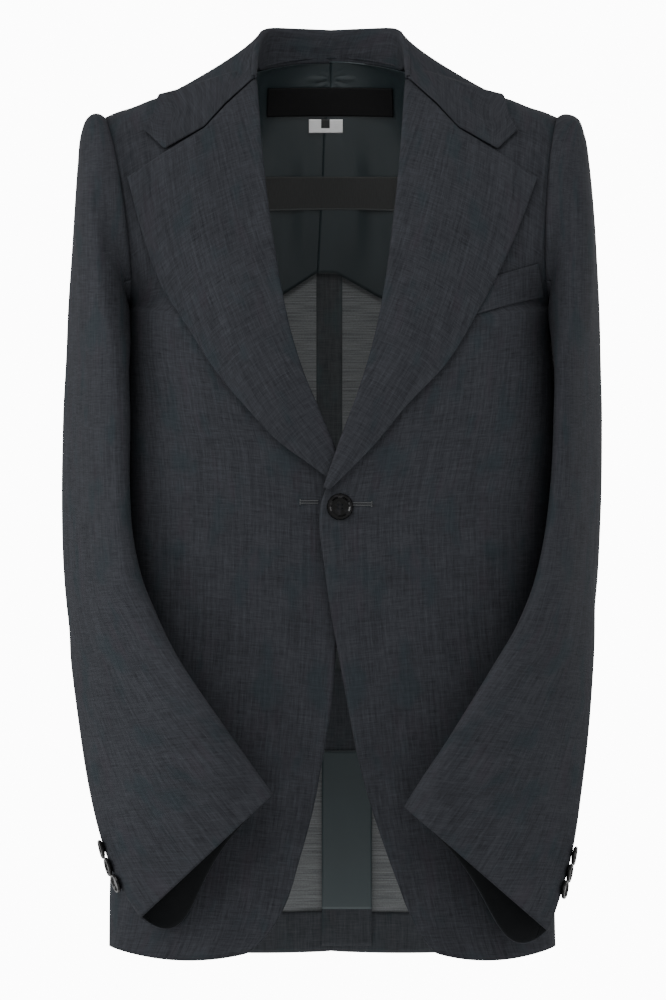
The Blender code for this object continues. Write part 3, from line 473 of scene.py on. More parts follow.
def lapel_points(side, across, up):
    """A lapel: a half circle round the roll line, then out over the front to the lapel's outer edge."""
    roll_x, roll_z, edge_x, edge_z = (value[:, None] for value in smooth_rows(LAPEL_ROWS[side], up))
    u = across[None, :]
    x = roll_x + (edge_x - roll_x) * u
    z = roll_z + (edge_z - roll_z) * u
    z = z - line_rows(GORGE_DROP, u) * up[:, None] ** 3
    small = np.clip(up[:, None] / LAPEL_SMALL, LAPEL_SMALL, 1)
    lift = 2 * LAPEL_FOLD_RADIUS + (LAPEL_EDGE_LIFT - 2 * LAPEL_FOLD_RADIUS) * u
    lift = lift + small * LAPEL_BULGE * np.sin(np.pi * np.minimum(u * LAPEL_PEAK, 1)) ** 2
    y = depth_at(side, FRONT, x, z) + WALL + lift
    out = np.stack([x, y, z], axis=-1)
    turn = evenly(FOLD_STEPS + 1)[None, :-1]
    start_y = depth_at(side, FRONT, roll_x, roll_z) + WALL
    fold_x = roll_x + LAPEL_FOLD_RADIUS * (1 - np.sin(np.pi * turn)) + 0 * start_y
    fold_y = start_y + LAPEL_FOLD_RADIUS * (1 - np.cos(np.pi * turn))
    fold = np.stack([fold_x, fold_y, roll_z + 0 * fold_x], axis=-1)
    out[:, :, 0] += LAPEL_FOLD_RADIUS * (1 - u)
    points = np.concatenate([fold, out], axis=1)
    return points * np.array([side, -1, 1])


def collar_points(across_stand, across_fall, along):
    """Half a collar: up the stand from the neck seam, round the fold and down the fall to its outer edge."""
    tables = (COLLAR_NECK, COLLAR_FOLD, COLLAR_EDGE)
    neck, fold, edge = (np.moveaxis(smooth_rows(rows, along), 0, -1)[:, None, :] for rows in tables)
    out = edge - fold
    out[..., 2] = 0
    out = out / np.linalg.norm(out, axis=-1, keepdims=True)
    up = np.array([0.0, 0.0, 1.0])
    stand = neck + (fold - up * COLLAR_FOLD_RADIUS - neck) * across_stand[None, :, None]
    turn = evenly(FOLD_STEPS + 1)[None, 1:-1, None]
    low_fold = fold - up * COLLAR_FOLD_RADIUS
    bend = (
        low_fold
        + out * COLLAR_FOLD_RADIUS * (1 - np.cos(np.pi * turn))
        + up * COLLAR_FOLD_RADIUS * np.sin(np.pi * turn)
    )
    fall_start = low_fold + 2 * COLLAR_FOLD_RADIUS * out
    w = across_fall[None, :, None]
    fall = fall_start + (edge - fall_start) * w
    straight = fall_start[:1] + (edge[:1] - fall_start[:1]) * w
    front = (1 - np.clip(along[:, None] / COLLAR_FRONT, 0, 1)) ** 2
    fall[..., 0] += front * (line_rows(COLLAR_END, across_fall) - straight[..., 0])
    fall[..., 2] += front * (line_rows(COLLAR_END, across_fall, 2) - straight[..., 2])
    points = np.concatenate([stand, bend, fall], axis=1)
    return clear_of_body(points)


def clear_of_body(points):
    """The collar's left half moved clear of the body, with each move shared by the points round it."""
    moved = pushed_clear(points)
    for _ in range(COLLAR_SMOOTHING):
        shift = moved - points
        for axis in (0, 1):
            shift = np.moveaxis(shift, axis, 0)
            near = np.concatenate([shift[:1], shift, shift[-1:]])
            shift = np.moveaxis((near[:-2] + 2 * shift + near[2:]) / 4, 0, axis)
        moved = pushed_clear(points + shift)
    return moved


def pushed_clear(points):
    """Points of the left half moved clear of the body: up at the shoulder line, and out in y below it."""
    x, y, z = points[..., 0], points[..., 1], points[..., 2]
    ridge = top_line(FRONT, np.maximum(x, NECK_HALF_WIDTH))
    under = z - COLLAR_REST
    front_y = -(depth_at(LEFT, FRONT, x, under) + COLLAR_REST)
    back_y = depth_at(LEFT, BACK, x, under) + COLLAR_REST
    lift = ridge - under
    push = np.where(y < RIDGE_Y, y - front_y, back_y - y)
    inside = (x > NECK_HALF_WIDTH - NECK_MARGIN) & (lift > 0) & (push > 0)
    upwards = inside & (lift < push)
    outwards = inside & ~upwards
    z = np.where(upwards, z + lift, z)
    y = np.where(outwards & (y < RIDGE_Y), front_y, y)
    y = np.where(outwards & (y > RIDGE_Y), back_y, y)
    return np.stack([x, y, z], axis=-1)


def sleeve_frames(side, along):
    """A sleeve's rings: centre, direction to the inner edge, half widths, and the turn that shows them."""
    table = np.array(SLEEVE_ROWS[side], float)
    seen = np.hypot(table[:, 1] - table[:, 3], table[:, 2] - table[:, 4]) / 2
    long_half = table[:, 6]
    short_half = np.where(table[:, 7] > 0, table[:, 7], seen)
    turned = np.clip((seen**2 - short_half**2) / np.maximum(long_half**2 - short_half**2, 1), 0, 1)
    turn = np.where(table[:, 7] > 0, np.arcsin(np.sqrt(turned)), 0)
    full = np.column_stack([table[:, :7], short_half, turn])
    outer_x, outer_z, inner_x, inner_z, y, long_half, short_half, turn = smooth_rows(full, along)
    length = np.hypot(inner_x - outer_x, inner_z - outer_z)
    inwards = np.stack([(inner_x - outer_x) / length, 0 * y, (inner_z - outer_z) / length], axis=-1)
    centre = np.stack([(outer_x + inner_x) / 2, y, (outer_z + inner_z) / 2], axis=-1)
    return centre, inwards, long_half - WALL, short_half - WALL, turn


def sleeve_points(side, angles, along):
    """A stretch of a sleeve's wall: superellipse rings, the first drawn on to the armhole."""
    centre, inwards, long_half, short_half, turn = (value[:, None] for value in sleeve_frames(side, along))
    turn = turn[..., None]
    to_front = FORWARDS * np.cos(turn) + inwards * np.sin(turn)
    to_side = FORWARDS * np.sin(turn) - inwards * np.cos(turn)
    c, s = (part[None, :, None] for part in superellipse(angles, SLEEVE_POWER))
    points = centre + long_half[..., None] * c * to_front + short_half[..., None] * s * to_side
    seat = np.stack(armhole(side, angles), axis=-1)[None]
    seat[..., 0] += SLEEVE_SEAT + UNDERARM_SEAT * np.maximum(-s[..., 0], 0)
    near = np.clip(1 - along / ARMHOLE_BLEND, 0, 1)[:, None, None] ** 2
    points = points + near * (seat - first_ring(side, angles))
    heading = np.stack([-inwards[..., 2], 0 * inwards[..., 2], inwards[..., 0]], axis=-1)
    late = eased((along - 1 + CUFF_DROP_ZONE) / CUFF_DROP_ZONE)[:, None, None]
    points = points + heading * late * CUFF_DROP * np.maximum(-s, 0) * ((1 - c) / 2) ** CUFF_DROP_POWER
    return points * np.array([side, 1, 1])


def first_ring(side, angles):
    """The first ring as the table gives it, before it is drawn on to the armhole."""
    centre, inwards, long_half, short_half, _ = sleeve_frames(side, np.zeros(1))
    c, s = (part[None, :, None] for part in superellipse(angles, SLEEVE_POWER))
    return centre[:, None] + long_half[0] * c * FORWARDS - short_half[0] * s * inwards[:, None]


def moved_out(points, distance, towards):
    """A grid of points moved along its own normals, on the side that faces towards."""
    normal = np.cross(np.gradient(points, axis=1), np.gradient(points, axis=0))
    normal = normal / np.linalg.norm(normal, axis=-1, keepdims=True)
    facing = np.sign((normal @ np.array(towards, float)).sum())
    return points + normal * facing * distance


def inside_back(x, z, offset):
    """Points a given way inside the back's inner surface, for x on both sides of the middle."""
    size = np.abs(x)
    y = np.where(x < 0, depth_at(RIGHT, BACK, size, z), depth_at(LEFT, BACK, size, z))
    return moved_out(np.stack([x, y, z + 0 * x], axis=-1), offset, FORWARDS)


# Folds laid into the cloth. Columns: x and z of one end, x and z of the other, half width, height
# (below 0 it is a trough). On sleeves the first two pairs are angle in degrees and place down the sleeve.
# A fold rises over the first share of its length and falls over the last.
FOLD_START, FOLD_END = 0.3, 0.4
FRONT_FOLDS = {
    LEFT: (
        (24, -322, 96, -338, 9, -0.9), (26, -340, 110, -372, 12, 0.9), (30, -362, 104, -420, 14, -1.1),
        (60, -392, 128, -470, 18, 1.2), (140, -188, 118, -250, 12, -1.3), (126, -180, 100, -262, 16, 1.1),
        (92, -260, 78, -330, 18, 0.8), (96, -520, 88, -640, 20, 1.0), (60, -560, 64, -648, 14, -0.8),
    ),
    RIGHT: (
        (14, -322, 84, -334, 9, -0.8), (8, -400, 66, -446, 13, -1.5), (20, -424, 84, -470, 15, 1.3),
        (34, -468, 98, -524, 18, -0.9), (138, -190, 120, -262, 13, -1.2), (122, -188, 96, -270, 16, 1.1),
        (88, -270, 70, -340, 18, 0.8), (92, -520, 84, -640, 20, 1.0), (54, -556, 58, -648, 14, -0.8),
    ),
}
BACK_FOLDS = (
    (150, -120, 96, -176, 12, -1.6), (146, -150, 84, -226, 14, 1.4), (118, -96, 60, -150, 16, 1.0),
    (136, -250, 60, -292, 16, -1.4), (140, -300, 52, -330, 16, 1.2), (128, -350, 46, -372, 18, -1.0),
    (110, -420, 96, -640, 22, 1.6), (64, -440, 58, -640, 18, -1.3), (0.2, 60, 0.2, -496, 1.3, -1.3),
    (0.2, -480, 0.2, -622, 1.6, -1.2),
)
SLEEVE_FOLDS = {
    LEFT: (
        (62, 60, 72, 180, 16, 0.8), (20, 84, 34, 216, 14, -0.8), (-30, 276, 60, 324, 12, -1.2),
        (-36, 306, 90, 350, 13, 1.1), (-30, 345, 70, 372, 12, -1.0), (20, 384, 130, 420, 14, 0.9),
        (110, 312, 170, 360, 13, -0.9), (40, 456, 120, 540, 18, -0.6), (200, 270, 300, 300, 13, -1.2),
        (205, 312, 300, 340, 13, 1.1),
    ),
    RIGHT: (
        (64, 54, 72, 192, 16, 0.8), (24, 78, 30, 228, 14, -0.9), (-34, 288, 50, 330, 13, -1.1),
        (-30, 324, 84, 366, 14, 1.1), (-34, 360, 60, 390, 12, -0.9), (30, 396, 136, 444, 15, 0.9),
        (100, 330, 168, 372, 13, -0.9), (50, 480, 130, 552, 18, 0.6), (200, 276, 300, 306, 13, -1.2),
        (205, 318, 300, 348, 13, 1.1),
    ),
}
LINING_FOLDS = (
    (18, -34, 20, -140, 7, 0.8), (32, -26, 34, -150, 8, -0.8), (46, -30, 54, -160, 8, 0.8),
    (66, -30, 70, -170, 8, -0.7), (0, 10, 12, 13, 1.1, -1.0), (0, 9, 13, 6, 1.1, -1.1),
    (0, 9, 8, -1, 1.0, -1.0), (1, 12, 8, 19, 1.0, -0.8), (2, 10, 20, 10, 1.5, 0.7),
)
# How far the left lining's pleat laps past the middle. Columns: z, x
PLEAT_EDGE = ((-140, 10.8), (-131, 10.5), (-90, 8.3), (-62, 6.8), (-34, 6.0), (-10, 3.0), (5, 0.3), (24, 0.3))
PLEAT_LIFT = 1.5
PLEAT_STEEP, PLEAT_START = 5, 3.6
# Buttonholes: side, then x at the front's edge or the button, x at the outer end, and z
BUTTONHOLES = {LEFT: (9.0, 30.5, -312.0), RIGHT: (9.5, 23.0, -310.5)}
HOLE_HALF = 0.9
BAR_HALF = 2.2
HOLE_THREAD = 0.5
THREAD_SIDES = 8
THREAD_RINGS = 60
THREAD_SWELL = 0.22
THREAD_TWIST = 0.9

# Fineness of the shells: columns, rows. The body's rows stand closer at the top by a power
ROWS_POWER = 1.6
FRONT_GRID = (90, 230)
BACK_GRID = (80, 230)
LAPEL_GRID = (64, 150)
COLLAR_GRID = (14, 60, 110)
LINING_GRID = (70, 90)
HEM_GRID = (60, 12)
WELT_GRID = (60, 30)
SLEEVE_COLUMNS = {"top": 110, "under": 70}
SLEEVE_ROWS_COUNT = 240
SLEEVE_LENGTH = 600.0
CAP_FINE = 0.06
# Columns worked out past each seam, so that both sides of it move alike, and then dropped
SPARE = 4
# Above this share of its length a sleeve's weft lies level; the half widths are a mean section's
CAP_ROWS = 0.4
MEAN_HALF = (66.0, 26.0)
MAP_STEPS = 120
# The sleeve head's roll beside the armhole seam, and how far the sleeve's front lies in over the body
ROLL_HEIGHT = 4.0
ROLL_START = 1.6
ROLL_REACH = 26.0
ROLL_ALL, ROLL_FRONT, ROLL_OUTER = 0.1, 0.95, 0.2
LOBE_IN = 4.5
LOBE_START = 70.0
LOBE_FADE = 130.0
# A front's edge sinks beside the armhole seam
SEAM_SINK = 1.8
SEAM_SINK_REACH = 3.5
SEAM_SINK_START = 20.0

# Camera: straight on, with a long lens
PHOTO_CENTRE = (1.5, -309.0)
PHOTO_HEIGHT = 750.0
PHOTO_PLANE_Y = -60.0
CAMERA_Y = -20000.0
SENSOR = 36.0
CLIP_END = 100.0

# Floor, in metres: its height, half its side and the lines of its grid
FLOOR_Z = -0.95
FLOOR_REACH = 12.0
FLOOR_LINES = 9


def folded(points, at, rows, towards):
    """Points moved along their normals by the sum of folds: height times a bell across and an eased end."""
    height = np.zeros(points.shape[:2])
    for a0, b0, a1, b1, half_width, rise in rows:
        along = np.array([a1 - a0, b1 - b0], float)
        length = np.linalg.norm(along)
        along = along / length
        p, q = at[0] - a0, at[1] - b0
        s = (p * along[0] + q * along[1]) / length
        d = (q * along[0] - p * along[1]) / half_width
        height = height + rise * np.exp(-d * d) * eased(s / FOLD_START) * eased((1 - s) / FOLD_END)
    return moved_out(points, height[..., None], towards)


class Wire:
    """A socket of a material, with sums and products that add Math nodes."""

    def __init__(self, shader, socket):
        self.shader = shader
        self.socket = socket

    def maths(self, operation, *others):
        return self.shader.node("ShaderNodeMath", {"operation": operation}, dict(enumerate((self, *others))))

    def __add__(self, other):
        return self.maths("ADD", other)

    def __radd__(self, other):
        return self.maths("ADD", other)

    def __sub__(self, other):
        return self.maths("SUBTRACT", other)

    def __rsub__(self, other):
        return self.maths("MULTIPLY_ADD", -1.0, other)

    def __mul__(self, other):
        return self.maths("MULTIPLY", other)

    def step(self, low, high):
        """0 below low, 1 above high, smooth between."""
        settings = {"interpolation_type": "SMOOTHSTEP"}
        inputs = {"Value": self, "From Min": low, "From Max": high}
        return self.shader.node("ShaderNodeMapRange", settings, inputs)


class Shader:
    """A material under construction, with the Principled surface it ends in."""

    def __init__(self, name):
        self.material = bpy.data.materials.new(name)
        self.material.use_nodes = True
        self.tree = self.material.node_tree
        self.surface = self.tree.nodes["Principled BSDF"]

    def node(self, kind, settings=None, inputs=None, output=0):
        """Any node: its type, then its settings, then the values or wires of its sockets."""
        made = self.tree.nodes.new(kind)
        for key, value in (settings or {}).items():
            setattr(made, key, value)
        for key, value in (inputs or {}).items():
            self.feed(made.inputs[key], value)
        return Wire(self, made.outputs[output])

    def feed(self, socket, value):
        """Link a wire to a socket, or set a value on it. Three numbers are a colour."""
        if isinstance(value, Wire):
            self.tree.links.new(value.socket, socket)
        else:
            socket.default_value = (*value, 1.0) if isinstance(value, tuple) else value

    def set(self, **inputs):
        for key, value in inputs.items():
            self.feed(self.surface.inputs[key.replace("_", " ")], value)
        return self.material

    def cloth_place(self):
        """How far along the weft and along the warp, in metres, from the piece's own map."""
        split = self.tree.nodes.new("ShaderNodeSeparateXYZ")
        self.feed(split.inputs[0], self.node("ShaderNodeUVMap", {"uv_map": "cloth"}))
        return Wire(self, split.outputs["X"]), Wire(self, split.outputs["Y"])

    def object_place(self):
        split = self.tree.nodes.new("ShaderNodeSeparateXYZ")
        self.feed(split.inputs[0], self.node("ShaderNodeTexCoord", output="Object"))
        return tuple(Wire(self, split.outputs[axis]) for axis in "XYZ")

    def noise(self, x, y, detail=2.0):
        place = self.node("ShaderNodeCombineXYZ", inputs={0: x, 1: y})
        return self.node("ShaderNodeTexNoise", inputs={"Vector": place, "Scale": 1.0, "Detail": detail})

    def spread_out(self, value, mean):
        """A sum of noises with its contrast raised about its mean, kept between 0 and 1."""
        return ((value - mean) * CONTRAST + 0.5).maths("MINIMUM", 1.0).maths("MAXIMUM", 0.0)

    def mix(self, share, first, second):
        inputs = {0: share, 6: first, 7: second}
        return self.node("ShaderNodeMix", {"data_type": "RGBA"}, inputs, output=2)

    def bump(self, height, distance, strength):
        inputs = {"Height": height, "Distance": distance, "Strength": strength}
        return self.node("ShaderNodeBump", inputs=inputs)


# Threads of the suiting. Columns: noise per metre across and along, share: warp, weft, their slubs, a cloud
MELANGE = (
    (1500.0, 110.0, 0.34), (110.0, 1500.0, 0.34), (520.0, 16.0, 0.30), (40.0, 560.0, 0.22),
    (40.0, 40.0, 0.12),
)
MELANGE_MEAN = 0.66
CONTRAST = 2.6


def suiting(name, dark, light, teal, brown, painted_backlight=0.0):
    """Melange suiting: uneven warp and weft threads with slubs, and drifts of teal and brown.

    The last argument is an emission strength: painted light that stands in for light passing through the
    cloth from behind.
    """
    s = Shader(name)
    u, v = s.cloth_place()
    warp, weft, *slubs = (s.noise(u * across, v * along) for across, along, _ in MELANGE)
    thread = warp * MELANGE[0][2] + weft * MELANGE[1][2]
    for slub, (_, _, share) in zip(slubs, MELANGE[2:]):
        thread = thread + slub * share
    base = s.mix(s.spread_out(thread, MELANGE_MEAN), dark, light)
    drift = s.noise(u * 44.0, v * 24.0, 3.0)
    base = s.mix(drift.step(0.52, 0.68) * 0.4, base, teal)
    drift = s.noise(u * 70.0, v * 18.0, 3.0)
    base = s.mix(drift.step(0.54, 0.70) * 0.3, base, brown)
    height = warp * 0.5 + weft * 0.5
    # Painted light: an emission that makes the cloth shine as if lit through from behind
    if painted_backlight:
        s.set(Emission_Color=base, Emission_Strength=painted_backlight)
    return s.set(Base_Color=base, Roughness=1.0, Specular_IOR_Level=0.06, Normal=s.bump(height, 0.00035, 0.6))


def painted_backlit_inside(name):
    """The inside of the single back cloth seen against the light, painted: paler colours and an emission
    stand in for light through the cloth, with fine level slubs. Above z = -0.05, on the facing, the painted
    backlight is dimmer.
    """
    s = Shader(name)
    u, v = s.cloth_place()
    z = s.object_place()[2]
    slub = s.noise(u * 34.0, v * 1100.0)
    fine = s.noise(u * 900.0, v * 900.0)
    shade = s.spread_out(slub * 0.7 + fine * 0.3, 0.5)
    pale = s.mix(shade, BACKLIGHT_PAINT_DARK, BACKLIGHT_PAINT_LIGHT)
    facing = s.mix(shade, FACING_DIM_BACKLIGHT_DARK, FACING_DIM_BACKLIGHT_LIGHT)
    base = s.mix(z.step(-0.06, -0.05), pale, facing)
    # Painted light: an emission, as if the cloth were lit through from behind
    return s.set(Base_Color=base, Roughness=0.9, Specular_IOR_Level=0.1, Normal=s.bump(slub, 0.0003, 0.6),
                 Emission_Color=base, Emission_Strength=0.1)


def satin(name, dark, light, roughness, specular=0.4):
    """A smooth lining: a fine twill that shows only as a sheen."""
    s = Shader(name)
    u, v = s.cloth_place()
    twill = s.noise((u + v) * 2400.0, (u - v) * 160.0)
    cloud = s.noise(u * 30.0, v * 12.0)
    base = s.mix(twill * 0.4 + cloud * 0.6, dark, light)
    return s.set(Base_Color=base, Roughness=roughness, Specular_IOR_Level=specular,
                 Normal=s.bump(twill, 0.0002, 0.4))


def tape(name, dark, light, lower_edge):
    """Black tape or label cloth: a close plain weave with a colour of its own along its lower edge, paler on
    the band and darker on the label.
    """
    s = Shader(name)
    u, v = s.cloth_place()
    rib = s.noise(u * 1600.0, v * 200.0)
    # The lower edge takes the colour given for it
    base = s.mix(v.step(0.0009, 0.0013), lower_edge, s.mix(rib, dark, light))
    return s.set(Base_Color=base, Roughness=0.8, Specular_IOR_Level=0.15, Normal=s.bump(rib, 0.0002, 0.5))


def paper_tag(name):
    """A white woven tag, bare but for a black tab at its top."""
    s = Shader(name)
    u, v = s.cloth_place()
    x, _, z = s.object_place()
    rib = s.noise(u * 200.0, v * 1600.0)
    white = s.mix(rib, (0.62, 0.62, 0.62), (0.8, 0.8, 0.8))
    tab = x.step(-0.0078, -0.0072) * (1.0 - x.step(-0.0012, -0.0006)) * z.step(-0.0284, -0.0281)
    base = s.mix(tab, white, (0.008, 0.008, 0.008))
    return s.set(Base_Color=base, Roughness=0.6, Normal=s.bump(rib, 0.0002, 0.4))


def horn(name):
    """Black horn buttons: glossy, with faint grey clouding."""
    s = Shader(name)
    place = s.node("ShaderNodeTexCoord", output="Object")
    cloud = s.node("ShaderNodeTexNoise", inputs={"Vector": place, "Scale": 260.0, "Detail": 4.0})
    base = s.mix(cloud.step(0.45, 0.8), (0.003, 0.003, 0.003), (0.009, 0.009, 0.010))
    return s.set(Base_Color=base, Roughness=0.06 + cloud * 0.08, Specular_IOR_Level=0.16)


def thread_material(name):
    s = Shader(name)
    place = s.node("ShaderNodeTexCoord", output="Object")
    twist = s.node("ShaderNodeTexNoise", inputs={"Vector": place, "Scale": 2600.0, "Detail": 2.0})
    base = s.mix(twist, (0.008, 0.009, 0.010), (0.028, 0.030, 0.033))
    return s.set(Base_Color=base, Roughness=0.65, Normal=s.bump(twist, 0.0002, 0.6))


# Colours of painted backlight on the back cloth's inside: paler below z = -0.05, and dimmer on the facing
# above
BACKLIGHT_PAINT_DARK, BACKLIGHT_PAINT_LIGHT = (0.058, 0.062, 0.064), (0.150, 0.156, 0.159)
FACING_DIM_BACKLIGHT_DARK, FACING_DIM_BACKLIGHT_LIGHT = (0.013, 0.0155, 0.0165), (0.028, 0.032, 0.034)

CLOTH = suiting("charcoal_suiting", (0.0085, 0.0090, 0.0106), (0.0270, 0.0288, 0.0335),
                (0.0108, 0.0178, 0.0208), (0.0210, 0.0178, 0.0225))
# Paler copies of the charcoal suiting with an emission: painted light on the seam strip, the vent underlap
# and the turned-up hem, standing in for light through the back cloth
INSIDE_PAINTED_LIGHT = suiting("suiting_inside_painted_light", (0.0175, 0.0190, 0.0200), (0.0420, 0.0450, 0.0475),
                 (0.0260, 0.0400, 0.0430), (0.0420, 0.0370, 0.0400), painted_backlight=0.25)
HEM_PAINTED_LIGHT = suiting("suiting_hem_painted_light", (0.0160, 0.0173, 0.0196), (0.0405, 0.0436, 0.0485),
              (0.0165, 0.0260, 0.0285), (0.0270, 0.0240, 0.0265), painted_backlight=0.2)
BACK_INSIDE_PAINTED_BACKLIGHT = painted_backlit_inside("back_inside_painted_backlight")
LINING = satin("teal_lining", (0.011, 0.017, 0.0195), (0.020, 0.0295, 0.033), 0.45)
VENT = satin("vent_satin", (0.020, 0.031, 0.034), (0.033, 0.047, 0.051), 0.45)
# The sleeve lining, its colour darkened to near black: painted shade inside the sleeve
SLEEVE_LINING_PAINTED_SHADE = satin("sleeve_lining_painted_shade", (0.004, 0.0044, 0.005), (0.009, 0.0098, 0.0105), 0.8, 0.05)
BAND = tape("inner_tape", (0.028, 0.029, 0.0285), (0.043, 0.044, 0.0435), (0.085, 0.090, 0.091))
LABEL = tape("label_cloth", (0.003, 0.003, 0.0032), (0.007, 0.007, 0.0074), (0.002, 0.002, 0.0022))
PAPER = paper_tag("white_tag")
HORN = horn("black_horn")
THREAD = thread_material("black_thread")

# Looks of a piece: its wall, its outer material, its inner material and its slot
SUIT = (WALL, CLOTH, CLOTH, "suiting")
SUIT_BACK = (WALL, CLOTH, BACK_INSIDE_PAINTED_BACKLIGHT, "suiting")
SUIT_SLEEVE = (WALL, CLOTH, SLEEVE_LINING_PAINTED_SHADE, "suiting")
SUIT_THIN = (THIN_WALL, CLOTH, CLOTH, "suiting")
SUIT_INSIDE = (THIN_WALL, INSIDE_PAINTED_LIGHT, INSIDE_PAINTED_LIGHT, "suiting")
SUIT_HEM = (THIN_WALL, HEM_PAINTED_LIGHT, HEM_PAINTED_LIGHT, "suiting")
SUIT_UNDERLAP = (THIN_WALL, HEM_PAINTED_LIGHT, INSIDE_PAINTED_LIGHT, "suiting")
BACK_LINING = (THIN_WALL, LINING, LINING, "lining")
VENT_LINING = (THIN_WALL, VENT, VENT, "lining")
TAPE = (THIN_WALL, BAND, BAND, "black_tape")
BARE_LABEL = (THIN_WALL, LABEL, LABEL, "black_tape")
BARE_TAG = (THIN_WALL, PAPER, PAPER, "white_tag")

LININGS = ["back_lining_left", "back_lining_right"]
BACKS = ["back_left", "back_right"]
# Flat pieces laid inside the back. Columns: name, node, sides left, right, top and bottom, columns and rows
# of the grid, way inside the back, look, how held, what it rests on
TRIMS = (
    ("band_inside", "inner_band", (-78.0, 78.0, -64.2, -89.3), (80, 20), TRIM_OFFSET, TAPE,
     "stretched", LININGS),
    ("label_bare", "neck_label", (-50.0, 48.5, 3.9, -18.1), (80, 20), TRIM_OFFSET + REST_GAP, BARE_LABEL,
     "laid", LININGS),
    ("tag_bare", "size_tag", (-17.0, 9.0, -20.6, -30.8), (30, 12), TRIM_OFFSET, BARE_TAG,
     "hung", ["neck_label"]),
    ("suit_seam_strip", "centre_seam_strip", (-11.0, 8.5, -137.0, -494.0), (12, 120), HEM_OFFSET, SUIT_INSIDE,
     "laid", BACKS),
    ("suit_vent_underlap", "vent_underlap", (VENT_LEFT, VENT_RIGHT, VENT_TOP + UNDERLAP_RISE, -646.0),
     (24, 80), UNDERLAP_OFFSET, SUIT_UNDERLAP, "hung", ["back_left"]),
    ("lining_vent", "vent_lining", (VENT_LEFT, VENT_RIGHT, VENT_TOP, -618.0), (24, 60),
     UNDERLAP_OFFSET + THIN_WALL, VENT_LINING, "laid", ["vent_underlap"]),
)


def cloth_map(points, level=False):
    """Lengths along the rows and columns of a grid, in metres, from its middle column and its first row.

    Where level is set, a column starts at its own height, so that the weft lies level in the cloth.
    """
    across = np.linalg.norm(np.diff(points, axis=1), axis=-1)
    u = np.concatenate([np.zeros((len(points), 1)), np.cumsum(across, axis=1)], axis=1)
    up = np.linalg.norm(np.diff(points, axis=0), axis=-1)
    v = np.concatenate([np.zeros((1, points.shape[1])), np.cumsum(up, axis=0)], axis=0)
    middle = u[:, points.shape[1] // 2][:, None]
    if level:
        v = v + points[:1, :, 2]
    return np.stack([u - middle, v], axis=-1) * MM


def cut_size(points):
    """Width, length and area of a grid laid flat, in metres: its longest row and column, its quads' sum."""
    place = cloth_map(points)
    width = (place[:, -1, 0] - place[:, 0, 0]).max()
    length = place[-1, :, 1].max()
    a, b = points[1:, 1:] - points[:-1, :-1], points[1:, :-1] - points[:-1, 1:]
    area = (np.linalg.norm(np.cross(a, b), axis=-1) / 2).sum() * MM * MM
    return float(width), float(length), float(min(area, width * length))


def sleeve_map(side, points, along):
    """The weft and warp of a sleeve: round its level section above the elbow, and along its rings below.

    A point's angle is atan2 of its way out and forwards from the sleeve's centre at its height, each over
    that half width. The weft is the length of a mean ellipse from the front to that angle.
    """
    steps = np.linspace(CAP_ROWS, 1, MAP_STEPS)
    centre, _, long_half, short_half, turn = sleeve_frames(side, steps)
    z = points[..., 2]
    values = (centre[:, 0], centre[:, 1], long_half, short_half, turn)
    mid_x, mid_y, long_half, short_half, turn = (np.interp(-z, -centre[:, 2], value) for value in values)
    out, forward = side * points[..., 0] - mid_x, mid_y - points[..., 1]
    front = (forward * np.cos(turn) - out * np.sin(turn)) / long_half
    outer = (forward * np.sin(turn) + out * np.cos(turn)) / short_half
    angle = np.unwrap(np.unwrap(np.arctan2(outer, front), axis=0), axis=1)
    fine = np.linspace(-3 * np.pi, 3 * np.pi, 10 * MAP_STEPS)
    arc = np.hypot(MEAN_HALF[0] * np.sin(fine), MEAN_HALF[1] * np.cos(fine))
    arc = np.cumsum(arc) * (fine[1] - fine[0])
    level = np.stack([np.interp(angle, fine, arc), z], axis=-1) * MM
    ring = cloth_map(points) * np.array([1, -1])
    row = int(np.argmin(np.abs(along - CAP_ROWS)))
    ring = ring + (level[row] - ring[row])
    return np.concatenate([level[:row], ring[row:]])


def placed(name, data):
    """A new object for a mesh, a lamp or a camera, linked into the scene."""
    made = bpy.data.objects.new(name, data)
    bpy.context.scene.collection.objects.link(made)
    return made


def grid_faces(rows, columns):
    """The quads of a grid of points, four indices each."""
    index = np.arange(rows * columns).reshape(rows, columns)
    return np.stack([index[:-1, :-1], index[:-1, 1:], index[1:, 1:], index[1:, :-1]], axis=-1).reshape(-1, 4)


def shell(name, node, points, towards, look, place=None):
    """A piece of cloth: a grid of points with a wall on the side that faces towards.

    look is its wall, its outer and inner materials and its slot.
    """
    wall, outer, inner, slot = look
    faces = grid_faces(*points.shape[:2])
    corners = points.reshape(-1, 3)[faces]
    normal = np.cross(corners[:, 2] - corners[:, 0], corners[:, 3] - corners[:, 1]).sum(axis=0)
    if normal @ np.asarray(towards, float) < 0:
        faces = faces[:, ::-1]
    mesh = bpy.data.meshes.new(name)
    mesh.from_pydata((points.reshape(-1, 3) * MM).tolist(), [], faces.tolist())
    layer = mesh.uv_layers.new(name="cloth")
    if place is None:
        place = cloth_map(points, level=node.startswith(("front", "back_left", "back_right")))
    layer.data.foreach_set("uv", place.reshape(-1, 2)[faces.ravel()].astype(np.float32).ravel())
    mesh.shade_smooth()
    mesh.materials.append(outer)
    mesh.materials.append(inner)
    made = placed(name, mesh)
    solidify = made.modifiers.new("wall", "SOLIDIFY")
    solidify.thickness = wall * MM
    solidify.offset = 1.0
    solidify.material_offset = 1
    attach(made, "root")
    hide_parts(node)
    width, length, area = cut_size(points)


